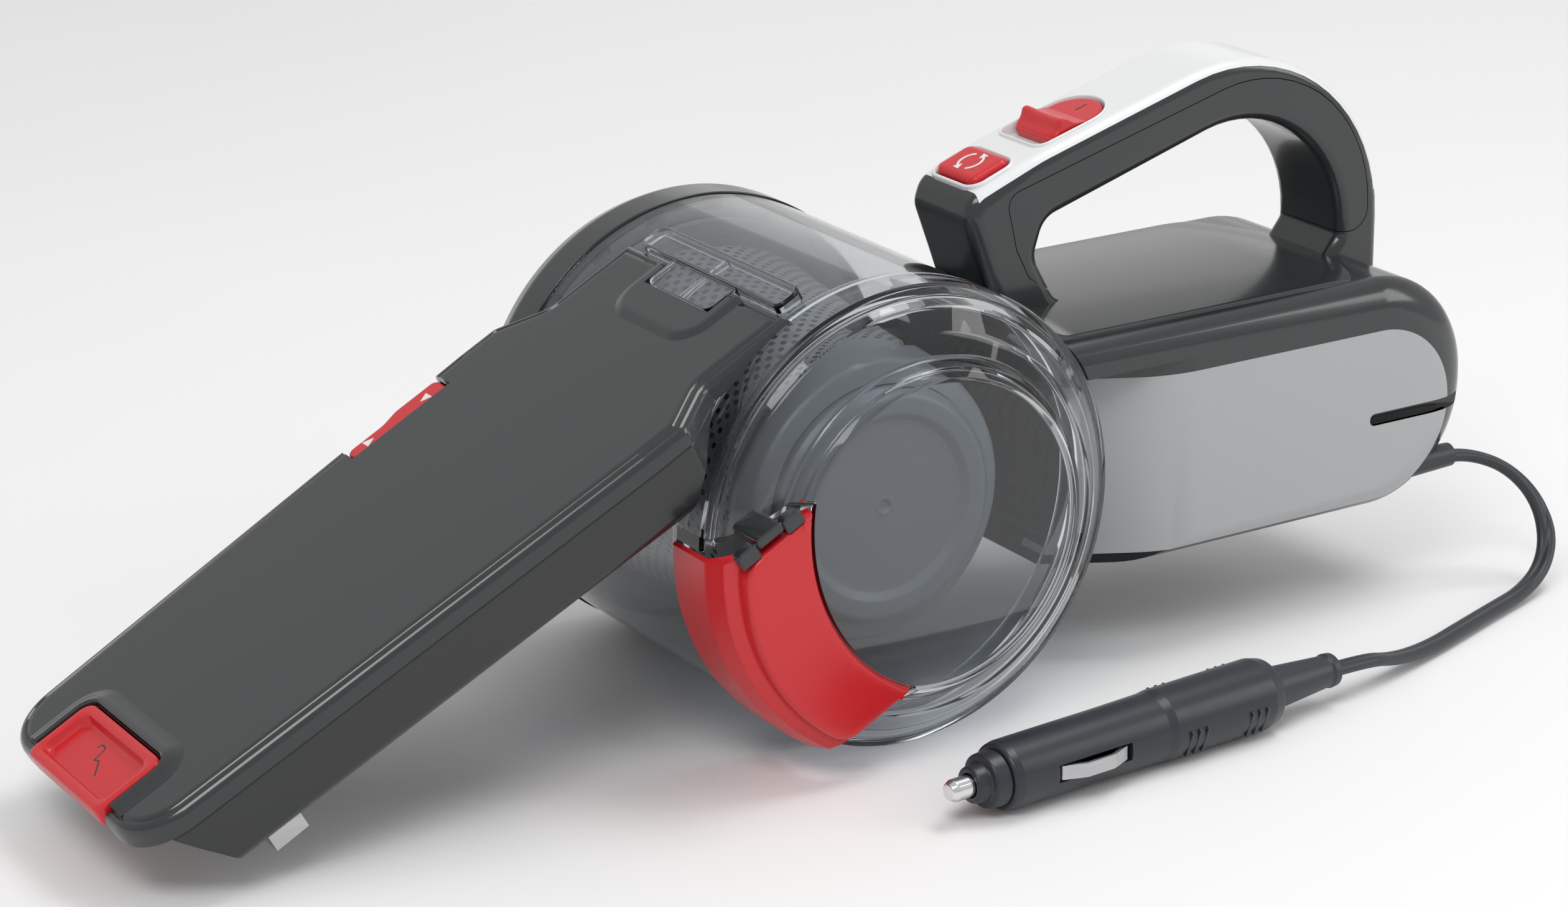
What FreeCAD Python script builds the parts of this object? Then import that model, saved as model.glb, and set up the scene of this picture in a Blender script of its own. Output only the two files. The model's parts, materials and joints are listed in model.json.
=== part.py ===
import FreeCAD, Part
import Sketcher
import math
import os
import re

# A 12 V handheld vacuum whose long nozzle turns on the axis of its clear dust drum.
#
# Three frames are used. The drum frame has its origin on the drum's axis, at the middle of the
# body's width: X runs to the rear, Y along the axis to the far side, Z up. The arm frame is the
# drum frame pitched about Y, so that the nozzle runs along its -X. The row frame stands on the
# floor under the drum, and every sub-part's Placement carries it there.

V = FreeCAD.Vector
Turn = FreeCAD.Rotation
Place = FreeCAD.Placement

DIMENSIONS = [
    ("pivot_x", 10.8, "drum axis from the row origin"),
    ("pivot_y", -4.3, "body middle from the row origin"),
    ("pivot_z", 70.0, "drum axis above the floor"),
    ("arm_pitch", 28.0, "nozzle below horizontal, degrees"),
    ("drum_radius", 69.5, "clear drum, outside"),
    ("drum_wall", 2.0, "clear drum wall"),
    ("drum_near", -42.5, "drum's open near edge"),
    ("drum_far", 61.0, "drum's far end"),
    ("rim_radius", 70.0, "cover rim and hub cap, outside"),
    ("rim_near", -56.5, "rim plane of the cover"),
    ("face_near", -74.2, "raised face of the cover"),
    ("face_radius", 49.0, "raised face of the cover"),
    ("cap_near", 61.6, "hub cap's open edge"),
    ("cap_far", 84.2, "hub cap's closed face"),
    ("body_half", 48.5, "half of the motor body's width"),
    ("body_top", 36.9, "joint between tub and top cover"),
    ("body_bottom", -36.5, "underside of the motor body"),
    ("body_rear", 219.0, "rearmost point of the tub"),
    ("body_end_radius", 36.0, "rear end seen from the side"),
    ("body_plan_radius", 16.0, "rear corners seen from above"),
    ("body_front", 74.5, "radius of the hollow front round the drum"),
    ("body_wall", 3.8, "tub wall"),
    ("panel_depth", 1.8, "silver side panel"),
    ("panel_mid", -5.4, "height of the side panel's middle"),
    ("panel_radius", 28.1, "round end of the side panel"),
    ("panel_end_x", 182.0, "centre of that round end"),
    ("scoop_x", 100.0, "where the front scoop meets the side"),
    ("scoop_angle", 28.5, "scoop across the body, degrees"),
    ("scoop_top", 27.0, "top of the scoop"),
    ("handle_half", 16.5, "half of the handle's width"),
    ("handle_front", 50.5, "front top corner of the handle"),
    ("handle_front_top", 81.2, "height of that corner"),
    ("handle_slope", 0.289, "rise of the bar per unit of length"),
    ("handle_rear", 206.3, "rear face of the handle"),
    ("handle_bend", 58.3, "outer bend of the handle"),
    ("opening_rear", 190.0, "rear side of the hand opening"),
    ("opening_bend", 41.0, "inner bend of the handle"),
    ("strip_depth", 2.2, "silver strip on the handle"),
    ("inlay_depth", 1.0, "soft grip inlay"),
    ("deck_crown", 41.4, "highest line of the top cover"),
    ("arm_tip", 234.0, "nozzle tip from the drum axis"),
    ("arm_half_tip", 48.2, "half width at the tip"),
    ("arm_half_root", 56.0, "half width beside the drum"),
    ("arm_half_neck", 45.5, "half width over the drum"),
    ("arm_top", 72.3, "top face above the drum axis"),
    ("arm_seam", 65.2, "lower edge of the top cover"),
    ("duct_bottom", 46.5, "underside of the lower duct"),
    ("duct_half", 43.0, "half width of the air channel, with its walls"),
    ("duct_wall", 2.0, "duct wall"),
    ("tool_gap", 0.4, "play of the crevice tool in its duct"),
    ("tool_wall", 1.8, "crevice tool wall"),
    ("latch_half", 25.5, "half width of the tip latch"),
    ("latch_length", 22.5, "length of the tip latch"),
    ("door_half", 36.0, "half width of the dump door"),
    ("door_arc", 60.0, "inner edge of the dump door"),
    ("door_arc_x", 18.6, "centre of that edge"),
    ("door_gap", 0.35, "gap round the door"),
    ("door_skirt", 71.5, "outside of the door's skirt"),
    ("hinge_y", -73.6, "door hinge pin"),
    ("hinge_z", 37.6, "door hinge pin"),
    ("hinge_radius", 1.0, "door hinge pin"),
    ("bearing_radius", 59.25, "journal that the drum turns on"),
    ("bearing_play", 0.05, "radial play of the drum on it"),
    ("motor_y", 4.0, "motor axis"),
    ("motor_z", -5.0, "motor axis"),
    ("motor_radius", 17.0, "motor can"),
    ("shaft_radius", 1.6, "motor shaft"),
    ("shaft_play", 0.05, "play of the shaft in its bushes"),
    ("fan_radius", 23.5, "impeller"),
    ("cord_radius", 3.0, "flexible lead"),
    ("plug_radius", 11.0, "12 V plug"),
    ("plug_length", 103.0, "plug body"),
    ("plug_x", -8.0, "front of the plug's body, drum frame"),
    ("plug_y", -112.5, "front of the plug's body, drum frame"),
    ("plug_yaw", 4.7, "plug across the floor, degrees"),
]

doc = FreeCAD.newDocument("HandheldVacuum")
sheet = doc.addObject("Spreadsheet::Sheet", "Dimensions")
for row, (alias, value, note) in enumerate(DIMENSIONS, start=1):
    sheet.set("A%d" % row, alias)
    sheet.set("B%d" % row, str(value))
    sheet.set("C%d" % row, note)
    sheet.setAlias("B%d" % row, alias)
doc.recompute()


class Sizes:
    """The sheet's values, for outlines that are worked out from them."""


size = Sizes()
for alias, value, note in DIMENSIONS:
    setattr(size, alias, value)

ALIAS = re.compile(r"\b([a-z]+(?:_[a-z]+)+)\b")
ALONG = {"X": Turn(V(0, 1, 0), 90), "Y": Turn(V(1, 0, 0), -90), "Z": Turn()}
nodes = []


def cells(text):
    """An expression in the sheet's aliases, as FreeCAD reads it."""
    return ALIAS.sub(r"Dimensions.\1", text)


def bind(feature, prop, text):
    feature.setExpression(prop, cells(text))


# ---- building blocks ---------------------------------------------------------------------------


def cylinder(name, radius, length, start, along="Y"):
    """A round bar; radius and length are expressions, start is the centre of its first end."""
    solid = doc.addObject("Part::Cylinder", name)
    bind(solid, "Radius", radius)
    bind(solid, "Height", length)
    solid.Placement = Place(V(*start), ALONG[along])
    return solid


def cone(name, radius_start, radius_end, length, start, along="Y"):
    solid = doc.addObject("Part::Cone", name)
    bind(solid, "Radius1", radius_start)
    bind(solid, "Radius2", radius_end)
    bind(solid, "Height", length)
    solid.Placement = Place(V(*start), ALONG[along])
    return solid


def block(name, low, high):
    """A box between two corners."""
    solid = doc.addObject("Part::Box", name)
    solid.Length, solid.Width, solid.Height = (high[axis] - low[axis] for axis in range(3))
    solid.Placement = Place(V(*low), Turn())
    return solid


def rounded_loop(corners):
    """A closed outline of lines and tangent arcs through corners (u, v) or (u, v, radius)."""
    count = len(corners)
    turns = []
    for index, corner in enumerate(corners):
        here = V(corner[0], corner[1], 0)
        before = V(*corners[index - 1][:2], 0) - here
        after = V(*corners[(index + 1) % count][:2], 0) - here
        radius = corner[2] if len(corner) == 3 else 0.0
        before.normalize()
        after.normalize()
        half = before.getAngle(after) / 2
        reach = radius / math.tan(half)
        inward = before + after
        middle = here
        if radius:
            inward.normalize()
            middle = here + inward * (radius / math.sin(half) - radius)
        turns.append((here + before * reach, middle, here + after * reach, radius))
    edges = []
    for index, (start, middle, end, radius) in enumerate(turns):
        if radius:
            edges.append(Part.Arc(start, middle, end))
        following = turns[(index + 1) % count][0]
        if (following - end).Length > 1e-6:
            edges.append(Part.LineSegment(end, following))
    return edges


def sketched(name, plane, loops, offset=0.0):
    """A body with one sketch on one of its origin planes."""
    body = doc.addObject("PartDesign::Body", name)
    sketch = body.newObject("Sketcher::SketchObject", name + "_outline")
    origin = [item for item in body.Origin.OriginFeatures if item.Role == plane][0]
    sketch.AttachmentSupport = [(origin, "")]
    sketch.MapMode = "FlatFace"
    sketch.AttachmentOffset = Place(V(0, 0, offset), Turn())
    for loop in loops:
        for edge in rounded_loop(loop):
            sketch.addGeometry(edge, False)
    return body, sketch


def side_pad(name, loops, low, high):
    """An outline in X and Z, padded across the body from Y = low to Y = high (expressions)."""
    body, sketch = sketched(name, "XZ_Plane", loops)
    bind(sketch, "AttachmentOffset.Base.z", "-(%s)" % high)
    pad = body.newObject("PartDesign::Pad", name + "_pad")
    pad.Profile = sketch
    bind(pad, "Length", "%s - (%s)" % (high, low))
    return body


def plan_pad(name, loops, low, high):
    """An outline in X and Y, padded upwards from Z = low to Z = high (expressions)."""
    body, sketch = sketched(name, "XY_Plane", loops)
    bind(sketch, "AttachmentOffset.Base.z", low)
    pad = body.newObject("PartDesign::Pad", name + "_pad")
    pad.Profile = sketch
    bind(pad, "Length", "%s - (%s)" % (high, low))
    return body


def turned(name, loops):
    """An outline of (radius, Y), turned round the drum's axis."""
    body, sketch = sketched(name, "XY_Plane", loops)
    turn = body.newObject("PartDesign::Revolution", name + "_turn")
    turn.Profile = sketch
    turn.ReferenceAxis = (sketch, ["V_Axis"])
    turn.Angle = 360
    return body


def cut(name, base, *tools):
    for number, tool in enumerate(tools):
        result = doc.addObject("Part::Cut", "%s_cut%d" % (name, number))
        result.Base = base
        result.Tool = tool
        base = result
    return base


def common(name, *solids):
    result = doc.addObject("Part::MultiCommon", name + "_common")
    result.Shapes = list(solids)
    return result


def fuse(name, *solids):
    result = doc.addObject("Part::MultiFuse", name + "_fuse")
    result.Shapes = list(solids)
    result.Refine = True
    return result


def mirrored(name, solid, normal=(0, 1, 0)):
    result = doc.addObject("Part::Mirroring", name)
    result.Source = solid
    result.Normal = V(*normal)
    return result


def group(name, solids):
    """Identical separate solids that share one node."""
    result = doc.addObject("Part::Compound", name + "_group")
    result.Links = solids
    return result


def ring(name, outer, inner, length, start, along="Y"):
    return cut(name, cylinder(name + "_outer", outer, length, start, along),
               cylinder(name + "_inner", inner, length, start, along))


def settled(feature, label):
    """The feature, wrapped if it has a place of its own, and named."""
    if not feature.Placement.isIdentity():
        feature.Label = label + "_form"
        feature = group(label, [feature])
    feature.Label = label
    nodes.append(feature)
    return feature


def carry(feature, label, pitched):
    """Names a finished sub-part and carries it from its own frame to the row frame."""
    feature = settled(feature, label)
    feature.Placement = Place(V(), Turn(V(0, 1, 0), -size.arm_pitch if pitched else 0))
    bind(feature, "Placement.Base.x", "pivot_x")
    bind(feature, "Placement.Base.y", "pivot_y")
    bind(feature, "Placement.Base.z", "pivot_z")
    return feature


def in_body(label, feature):
    """A sub-part modelled in the drum frame."""
    return carry(feature, label, pitched=False)


def in_arm(label, feature):
    """A sub-part modelled in the arm frame."""
    return carry(feature, label, pitched=True)


# ---- motor body --------------------------------------------------------------------------------


def front_space(name, extra=0.0):
    """The round space that the drum turns in, as deep as the body is wide."""
    return cylinder(name, "body_front + %g" % extra, "drum_far - drum_near + 40",
                    (0, size.drum_near - 39.5, 0))


def body_form(name, inset):
    """The motor body's outer form, moved in by inset: side outline, plan outline, front, scoop."""
    half = size.body_half - inset
    top = size.body_top - (inset if inset else 0)
    bottom = size.body_bottom + inset
    rear = size.body_rear - inset
    end = size.body_end_radius - inset
    plan = max(size.body_plan_radius - inset, 4)
    side = side_pad(name + "_side", [[(58, top), (rear, top, end), (rear, bottom, end),
                                      (58, bottom)]], "-body_half", "body_half")
    above = plan_pad(name + "_plan", [[(58, -half), (rear, -half, plan), (rear, half, plan),
                                       (58, half)]], "body_bottom - 2", "body_top + 2")
    scoop = block(name + "_scoop", (0, 0, 0), (80, 40, 80))
    angle = math.radians(size.scoop_angle)
    along = V(math.cos(angle), -math.sin(angle), 0)
    across = V(math.sin(angle), math.cos(angle), 0)
    corner = V(size.scoop_x, -size.body_half, 0) + across * (inset - 40) - along * 60
    scoop.Placement = Place(corner + V(0, 0, size.scoop_top + inset - 80), Turn(V(0, 0, 1), -size.scoop_angle))
    return cut(name, common(name, side, above), front_space(name + "_front", inset), scoop)


def panel_outline(name, low, high, inset=0.0):
    """The side panel's outline: a long bar with a round rear end."""
    end = size.panel_radius - inset
    top = size.panel_mid + end
    bottom = size.panel_mid - end
    rear = size.panel_end_x + end
    return side_pad(name, [[(58, top), (rear, top, end - 0.01), (rear, bottom, end - 0.01), (58, bottom)]],
                    low, high)


def vent_slots(name, low, high):
    """Two long exhaust slots that run off the rear of each side panel."""
    slot = side_pad(name, [[(178, -8.2, 1.9), (178, -4.2, 1.9), (230, -4.2), (230, -8.2)]], low, high)
    return slot


# Where the tub's four screws are, and where the flexible lead leaves it.
SCREWS = [(124, 18), (124, -27.5), (190, 12), (190, -22)]
GLAND_START = (196, -42, -26.5)


def side_layer(name):
    """The outermost skin of the body, which the two side panels take."""
    return cut(name, body_form(name + "_outside", 0.0), body_form(name + "_inside", size.panel_depth))


def make_side_panels():
    near = common("panel_near", side_layer("near_layer"), panel_outline("near_outline", "-body_half - 1", "-20"))
    in_body("side_panel_near", cut("side_panel_near", near, vent_slots("near_vent", "-body_half - 1", "-20")))
    far = common("panel_far", side_layer("far_layer"), panel_outline("far_outline", "20", "body_half + 1"))
    in_body("side_panel_far", cut("side_panel_far", far, vent_slots("far_vent", "20", "body_half + 1"),
                                  block("bridge_place", (50, 20, -40), (112.4, 60, 30))))


def body_cavity(name):
    """The hollow inside the tub, open at the top under the top cover."""
    mouth = block(name + "_mouth", (84, -44.7, 25), (182, 44.7, 45))
    return fuse(name, body_form(name + "_form", size.body_wall), mouth)


def make_tub():
    """The lower tub, in two halves that meet at the middle of the body."""
    near_skin = common("near_skin", side_layer("near_skin_layer"),
                       panel_outline("near_skin_outline", "-body_half - 1", "-20"))
    far_skin = common("far_skin", side_layer("far_skin_layer"),
                      panel_outline("far_skin_outline", "20", "body_half + 1"))
    shell = cut("tub", body_form("tub_form", 0.0), near_skin, far_skin, body_cavity("tub_cavity"),
                cylinder("gland_hole", "cord_radius + 1.6", "30", GLAND_START, "X"),
                vent_slots("tub_vents", "-body_half - 1", "body_half + 1"), rod_hole("tub_rod_hole"))
    near_half = block("near_half", (40, -80, -60), (240, 0, 60))
    far_half = block("far_half", (40, 0, -60), (240, 80, 60))
    posts = [cylinder("post%d" % number, "4.4", "43", (x, -45.5, z)) for number, (x, z) in enumerate(SCREWS)]
    wells = [cylinder("well%d" % number, "3", "44", (x, -50, z)) for number, (x, z) in enumerate(SCREWS)]
    holes = [cylinder("screw_hole%d" % number, "1.5", "60", (x, -50, z)) for number, (x, z) in enumerate(SCREWS)]
    near = fuse("housing_near", common("housing_near", shell, near_half), *posts)
    in_body("housing_near", cut("housing_near", near, *wells, *holes))
    passage = block("duct_passage", (82, 40, -27), (107, 60, 17))
    slot = block("lock_slot", (79.5, 40, 11.5), (88.5, 60, 18.5))
    in_body("housing_far", cut("housing_far", common("housing_far", shell, far_half), passage, slot))


# ---- handle and top cover ----------------------------------------------------------------------


def bar_height(x):
    """Height of the handle's straight top bar at x."""
    return size.handle_front_top + size.handle_slope * (x - size.handle_front)


def handle_outline(inset=0.0):
    """The handle seen from the side, from the front leg's foot round to the rear leg."""
    rear = size.handle_rear - inset
    drop = inset / math.cos(math.atan(size.handle_slope))
    front = size.handle_front + inset
    return [(66, size.body_top), (57.4, 44.8), (47.9 + inset, 72.5, 5), (front, bar_height(front) - drop, 3),
            (rear, bar_height(rear) - drop, size.handle_bend - inset),
            (rear, 18), (size.opening_rear, 18), (size.opening_rear, size.body_top)]


def opening_outline():
    """The hand opening."""
    rise = 0.3
    top_front = 67.5
    top_rear = top_front + rise * (size.opening_rear - 77)
    return [(81, 39), (73.4, 56.5, 7), (77, top_front, 8), (size.opening_rear, top_rear, size.opening_bend),
            (size.opening_rear, 39)]


def handle_pad(name, inset=0.0):
    return side_pad(name, [handle_outline(inset)], "-handle_half", "handle_half")


def opening_pad(name):
    return side_pad(name, [opening_outline()], "-handle_half - 1", "handle_half + 1")


def strip_zone(name):
    """The stretch of the handle's outer skin that the silver strip covers."""
    return side_pad(name, [[(44, 79.4), (44, 140), (198, 140), (198, 82), (182, 84), (150, 96), (60, 76)]],
                    "-handle_half", "handle_half")


def make_strip():
    skin = cut("strip_skin", handle_pad("strip_outside"), handle_pad("strip_inside", size.strip_depth))
    strip = common("handle_strip", skin, strip_zone("strip_zone"))
    in_body("handle_strip", cut("handle_strip", strip, *control_holes("strip_hole")))


def bar_tilt():
    """The bar's slope in degrees."""
    return math.degrees(math.atan(size.handle_slope))


def bar_place(along, up):
    """A point on the bar: along it from its front corner, and up from its top face."""
    tilt = math.radians(bar_tilt())
    return V(size.handle_front + along * math.cos(tilt) - up * math.sin(tilt), 0,
             size.handle_front_top + along * math.sin(tilt) + up * math.cos(tilt))


def bar_block(name, along, half, up, corner=2.0):
    """A block with rounded upright corners, set square to the bar's top face."""
    loop = [(along[0], -half, corner), (along[1], -half, corner), (along[1], half, corner),
            (along[0], half, corner)]
    body, sketch = sketched(name, "XY_Plane", [loop])
    pad = body.newObject("PartDesign::Pad", name + "_pad")
    pad.Profile = sketch
    pad.Length = up[1] - up[0]
    start = bar_place(0, up[0])
    wrapped = doc.addObject("Part::Compound", name + "_set")
    wrapped.Links = [body]
    wrapped.Placement = Place(start, Turn(V(0, 1, 0), -bar_tilt()))
    return wrapped


def control_holes(name):
    """Where the pivot button and the power switch come through the bar's top."""
    return (bar_block(name + "_button", (3.0, 18.6), 10.9, (-9.0, 6), 3.2),
            bar_block(name + "_switch", (26.2, 58.6), 10.9, (-9.0, 6), 10.5))


def rod_hole(name):
    """Room for the pivot button's rod, from the bar down into the tub."""
    hole = cylinder(name, "2.7", "57", (0, 0, 0), "Z")
    hole.Placement = Place(bar_place(8.4, -7), Turn(V(0, 1, 0), 180 - bar_tilt()))
    return hole


def inlay_outline():
    """The soft grip on each side of the handle; the hand opening is cut from it."""
    return [(61.5, bar_height(61.5) - 7.2, 5), (201, bar_height(201) - 10, 47), (201, 45.2, 7),
            (78, 45.2, 2), (70, 50.5, 4), (65.3, 60, 5)]


def inlay_pad(name, low, high):
    return cut(name, side_pad(name, [inlay_outline()], low, high), opening_pad(name + "_opening"))


LIP = [(56, 36.9), (56, 49), (58.5, 46.8), (70, 40), (70, 36.9)]


def deck(name):
    """The crowned plate that closes the tub, with a raised lip at the drum and a sloping rear."""
    crown = 330.0
    outline = [(58, size.body_top), (58, size.deck_crown + 1), (172, size.deck_crown + 1, 60),
               (203, size.body_top - 4)]
    slab = side_pad(name + "_slab", [outline], "-body_half", "body_half")
    barrel = cylinder(name + "_barrel", "%g" % crown, "200", (40, 0, size.deck_crown - crown), "X")
    half = size.body_half
    corner = size.body_plan_radius
    above = plan_pad(name + "_plan", [[(58, -half), (size.body_rear, -half, corner),
                                       (size.body_rear, half, corner), (58, half)]],
                     "body_top", "deck_crown + 3")
    lip = common(name + "_lip", side_pad(name + "_lip_slab", [LIP], "-body_half", "body_half"),
                 cylinder(name + "_lip_barrel", "%g" % crown, "60", (40, 0, 47.6 - crown), "X"))
    return fuse(name, common(name + "_plate", slab, barrel, above), lip)


def handle_channel(name):
    """The wiring channel inside the handle: front leg, bar, bend and rear leg."""
    leg = side_pad(name + "_leg", [[(72, 36), (61, 62), (58, 74), (68, 74), (69, 62), (79, 40), (79, 36)]],
                   "-handle_half + 3", "handle_half - 3")
    bar = side_pad(name + "_bar", [[(57, 72), (57, 78.5), (136, 101.0), (136, 89), (78, 71.6)]],
                   "-handle_half + 3", "handle_half - 3")
    bend = common(name + "_bend", ring(name + "_bend_ring", "handle_bend - 3.6", "opening_bend + 3.6",
                                       "2 * handle_half - 6", (148, -size.handle_half + 3, 48.6)),
                  block(name + "_bend_box", (134, -20, 48.6), (210, 20, 110)))
    rear = block(name + "_rear", (193.6, -size.handle_half + 3, 30), (202.7, size.handle_half - 3, 48.7))
    return fuse(name, leg, bar, bend, rear)


def make_handle():
    """Handle and deck in two halves, with the inlays and the silver strip let into them."""
    form = cut("handle_form", handle_pad("handle_side"), opening_pad("handle_opening"))
    whole = fuse("handle_whole", form, deck("deck"))
    strip = common("strip_place", cut("strip_place_skin", handle_pad("strip_place_outside"),
                                      handle_pad("strip_place_inside", size.strip_depth)),
                   strip_zone("strip_place_zone"))
    lower = body_form("deck_seat", 0.0)
    shell = cut("handle_shell", whole, lower, front_space("handle_front_space"), strip,
                handle_channel("channel"), rod_hole("handle_rod_hole"), *control_holes("handle_hole"))
    near = common("handle_near", shell, block("handle_near_half", (30, -80, 0), (240, 0, 150)))
    far = common("handle_far", shell, block("handle_far_half", (30, 0, 0), (240, 80, 150)))
    in_body("handle_near", cut("handle_near", near, inlay_pad("near_inlay_place", "-handle_half - 1",
                                                              "-handle_half + inlay_depth")))
    in_body("handle_far", cut("handle_far", far, inlay_pad("far_inlay_place", "handle_half - inlay_depth",
                                                           "handle_half + 1")))
    in_body("grip_inlay_near", inlay_pad("near_inlay", "-handle_half", "-handle_half + inlay_depth"))
    in_body("grip_inlay_far", inlay_pad("far_inlay", "handle_half - inlay_depth", "handle_half"))


def make_controls():
    """The pivot button with its rod, the power switch, and what they work."""
    bezel = cut("button_bezel", bar_block("bezel_outside", (1.8, 19.8), 12.1, (0.0, 0.7), 4.4),
                bar_block("bezel_inside", (3.0, 18.6), 10.9, (-1, 2), 3.2))
    in_body("button_bezel", bezel)
    cap = bar_block("button_cap", (3.4, 18.2), 10.5, (-4.0, 3.0), 3.0)
    rod = cylinder("button_rod", "2.2", "53.5", (0, 0, 0), "Z")
    rod.Placement = Place(bar_place(8.4, -3.5), Turn(V(0, 1, 0), 180 - bar_tilt()))
    in_body("pivot_button", fuse("pivot_button", cap, rod))
    spring = cut("button_spring", bar_block("spring_outside", (5.4, 11.4), 3.0, (-8.9, -8.2), 2.9),
                 bar_block("spring_inside", (5.7, 11.1), 2.7, (-9, -7.5), 2.6))
    in_body("button_spring", spring)
    plate = bar_block("switch_plate", (31.2, 57.8), 10.4, (-2.6, 0.6), 10.0)
    ridge = bar_block("switch_ridge", (35.5, 41.5), 10.2, (0.0, 4.6), 1.2)
    stem = bar_block("switch_stem", (44.0, 48.0), 2.0, (-11.0, -2.0), 0.8)
    in_body("power_switch", fuse("power_switch", plate, ridge, stem))
    case = bar_block("switch_case", (32.0, 57.0), 6.5, (-14.0, -9.4), 1.0)
    track = bar_block("switch_track", (38.0, 50.0), 2.6, (-12.0, -9.0), 0.8)
    in_body("switch_module", cut("switch_module", case, track))


# ---- hub on the far side -----------------------------------------------------------------------


def make_hub():
    """The fixed hub: cap, plate, journal and the duct that leads the air to the fan."""
    radius = size.rim_radius
    near = size.cap_near
    far = size.cap_far
    cap = turned("cap_form", [[(radius, near), (radius, far - 10), (radius - 2.9, far - 3.4, 3),
                               (radius - 9, far), (0, far), (0, far - 2.2), (radius - 10, far - 2.2),
                               (radius - 5.2, far - 4.8), (radius - 2.4, far - 11), (radius - 2.4, near)]])
    window = block("cap_window", (50, near + 3.5, -27), (72, far - 13, 17))
    slot = block("cap_slot", (55, near - 1, 11.6), (75, near + 2.8, 18))
    in_body("hub_cap", cut("hub_cap", cap, window, slot))
    in_body("hub_plate", ring("hub_plate", "rim_radius - 2.5", "24", "2.5", (0, size.drum_far + 5, 0)))
    journal = size.bearing_radius
    in_body("pivot_bearing", turned("pivot_bearing", [[(56, 55), (journal + 2.6, 55), (journal + 2.6, 58.2),
                                                       (journal, 58.2), (journal, size.drum_far + 5),
                                                       (56, size.drum_far + 5)]]))
    outside = side_pad("bridge_outside", [[(40, -33.5), (112, -33.5, 9), (112, 22.7, 9), (40, 22.7)]],
                       "body_half", "cap_far - 10")
    inside = side_pad("bridge_inside", [[(40, -31.1), (109.6, -31.1, 7), (109.6, 20.3, 7), (40, 20.3)]],
                      "body_half - 3", "cap_far - 12.4")
    in_body("bridge_duct", cut("bridge_duct", outside, inside,
                               cylinder("bridge_cap_space", "rim_radius", "30", (0, size.drum_far, 0)),
                               cylinder("bridge_drum_space", "body_front", "30", (0, size.drum_far - 30, 0))))


def make_filter():
    """Coarse screen, pleated cartridge and its end cap, held on the hub's air pipe."""
    screen = cut("prefilter_screen", cone("screen_outside", "37.5", "54", "95", (0, -41, 0)),
                 cone("screen_inside", "36.3", "52.8", "95", (0, -41, 0)))
    in_body("prefilter_screen", screen)
    in_body("filter_spigot", ring("filter_spigot", "24", "22", "15.5", (0, 56.5, 0)))
    pleats = 36
    star = []
    for step in range(2 * pleats):
        reach = 36.0 if step % 2 == 0 else 29.0
        angle = math.pi * step / pleats
        star.append((reach * math.cos(angle), reach * math.sin(angle)))
    folds = side_pad("filter_folds", [star], "-35", "54")
    in_body("filter_pleats", cut("filter_pleats", folds, cylinder("filter_hollow", "26", "90", (0, -35.5, 0))))
    in_body("filter_cap", turned("filter_cap", [[(0, -41.6), (1.6, -42.0), (2.6, -43.2), (26, -43.2),
                                                 (27.4, -44.6), (33.4, -44.6, 1.5), (36, -41.5), (36, -35),
                                                 (0, -35)]]))
    in_body("filter_base", ring("filter_base", "56", "22", "2.5", (0, 54, 0)))


# ---- motor, fan and lock inside the body -------------------------------------------------------


def make_motor():
    """Motor and fan on one shaft that runs front to rear."""
    y, z = size.motor_y, size.motor_z
    in_body("motor_can", ring("motor_can", "motor_radius", "motor_radius - 1.6", "52", (118, y, z), "X"))
    bell = ring("bell", "motor_radius", "shaft_radius + shaft_play", "7", (170, y, z), "X")
    in_body("motor_end_bell", bell)
    magnets = ring("magnets", "motor_radius - 1.6", "motor_radius - 4.4", "36", (126, y, z), "X")
    gaps = block("magnet_gaps", (120, y - 5, z - 30), (170, y + 5, z + 30))
    in_body("motor_magnets", cut("motor_magnets", magnets, gaps))
    in_body("motor_bracket", ring("motor_bracket", "27", "shaft_radius + shaft_play", "3", (115, y, z), "X"))
    saddle = block("mount_saddle", (152, y - 20, size.body_bottom + size.body_wall), (160, y + 20, z + 2))
    in_body("motor_mount", cut("motor_mount", saddle, cylinder("mount_bore", "motor_radius", "20", (146, y, z), "X")))
    scroll = cut("fan_scroll", cylinder("scroll_outside", "27", "22", (93, y, z), "X"),
                 cylinder("scroll_inside", "25", "20", (95, y, z), "X"),
                 cylinder("scroll_inlet", "12", "6", (91, y, z), "X"),
                 block("scroll_outlet", (100, y - 10, z + 20), (111, y + 10, z + 35)))
    in_body("fan_scroll", scroll)
    in_body("motor_shaft", cylinder("motor_shaft", "shaft_radius", "80", (98, y, z), "X"))
    core = ring("armature_core", "motor_radius - 5.0", "shaft_radius", "34", (127, y, z), "X")
    slots = [block("armature_slot%d" % step, (120, y - 1.2, z + 5), (170, y + 1.2, z + 15)) for step in range(6)]
    for step, slot in enumerate(slots):
        turn = Turn(V(1, 0, 0), 60 * step)
        centre = V(0, y, z)
        slot.Placement = Place(centre + turn.multVec(slot.Placement.Base - centre), turn)
    in_body("armature", cut("armature", core, *slots))
    hub = ring("impeller_hub", "7", "shaft_radius", "13", (99, y, z), "X")
    disc = ring("impeller_disc", "fan_radius", "shaft_radius", "1.6", (110.4, y, z), "X")
    blades = [block("blade%d" % step, (100, y + 5, z - 0.6), (110.6, y + 23, z + 0.6)) for step in range(9)]
    for step, blade in enumerate(blades):
        turn = Turn(V(1, 0, 0), 40 * step)
        centre = V(0, y, z)
        blade.Placement = Place(centre + turn.multVec(blade.Placement.Base - centre), turn)
    in_body("fan_impeller", fuse("fan_impeller", hub, disc, *blades))


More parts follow.
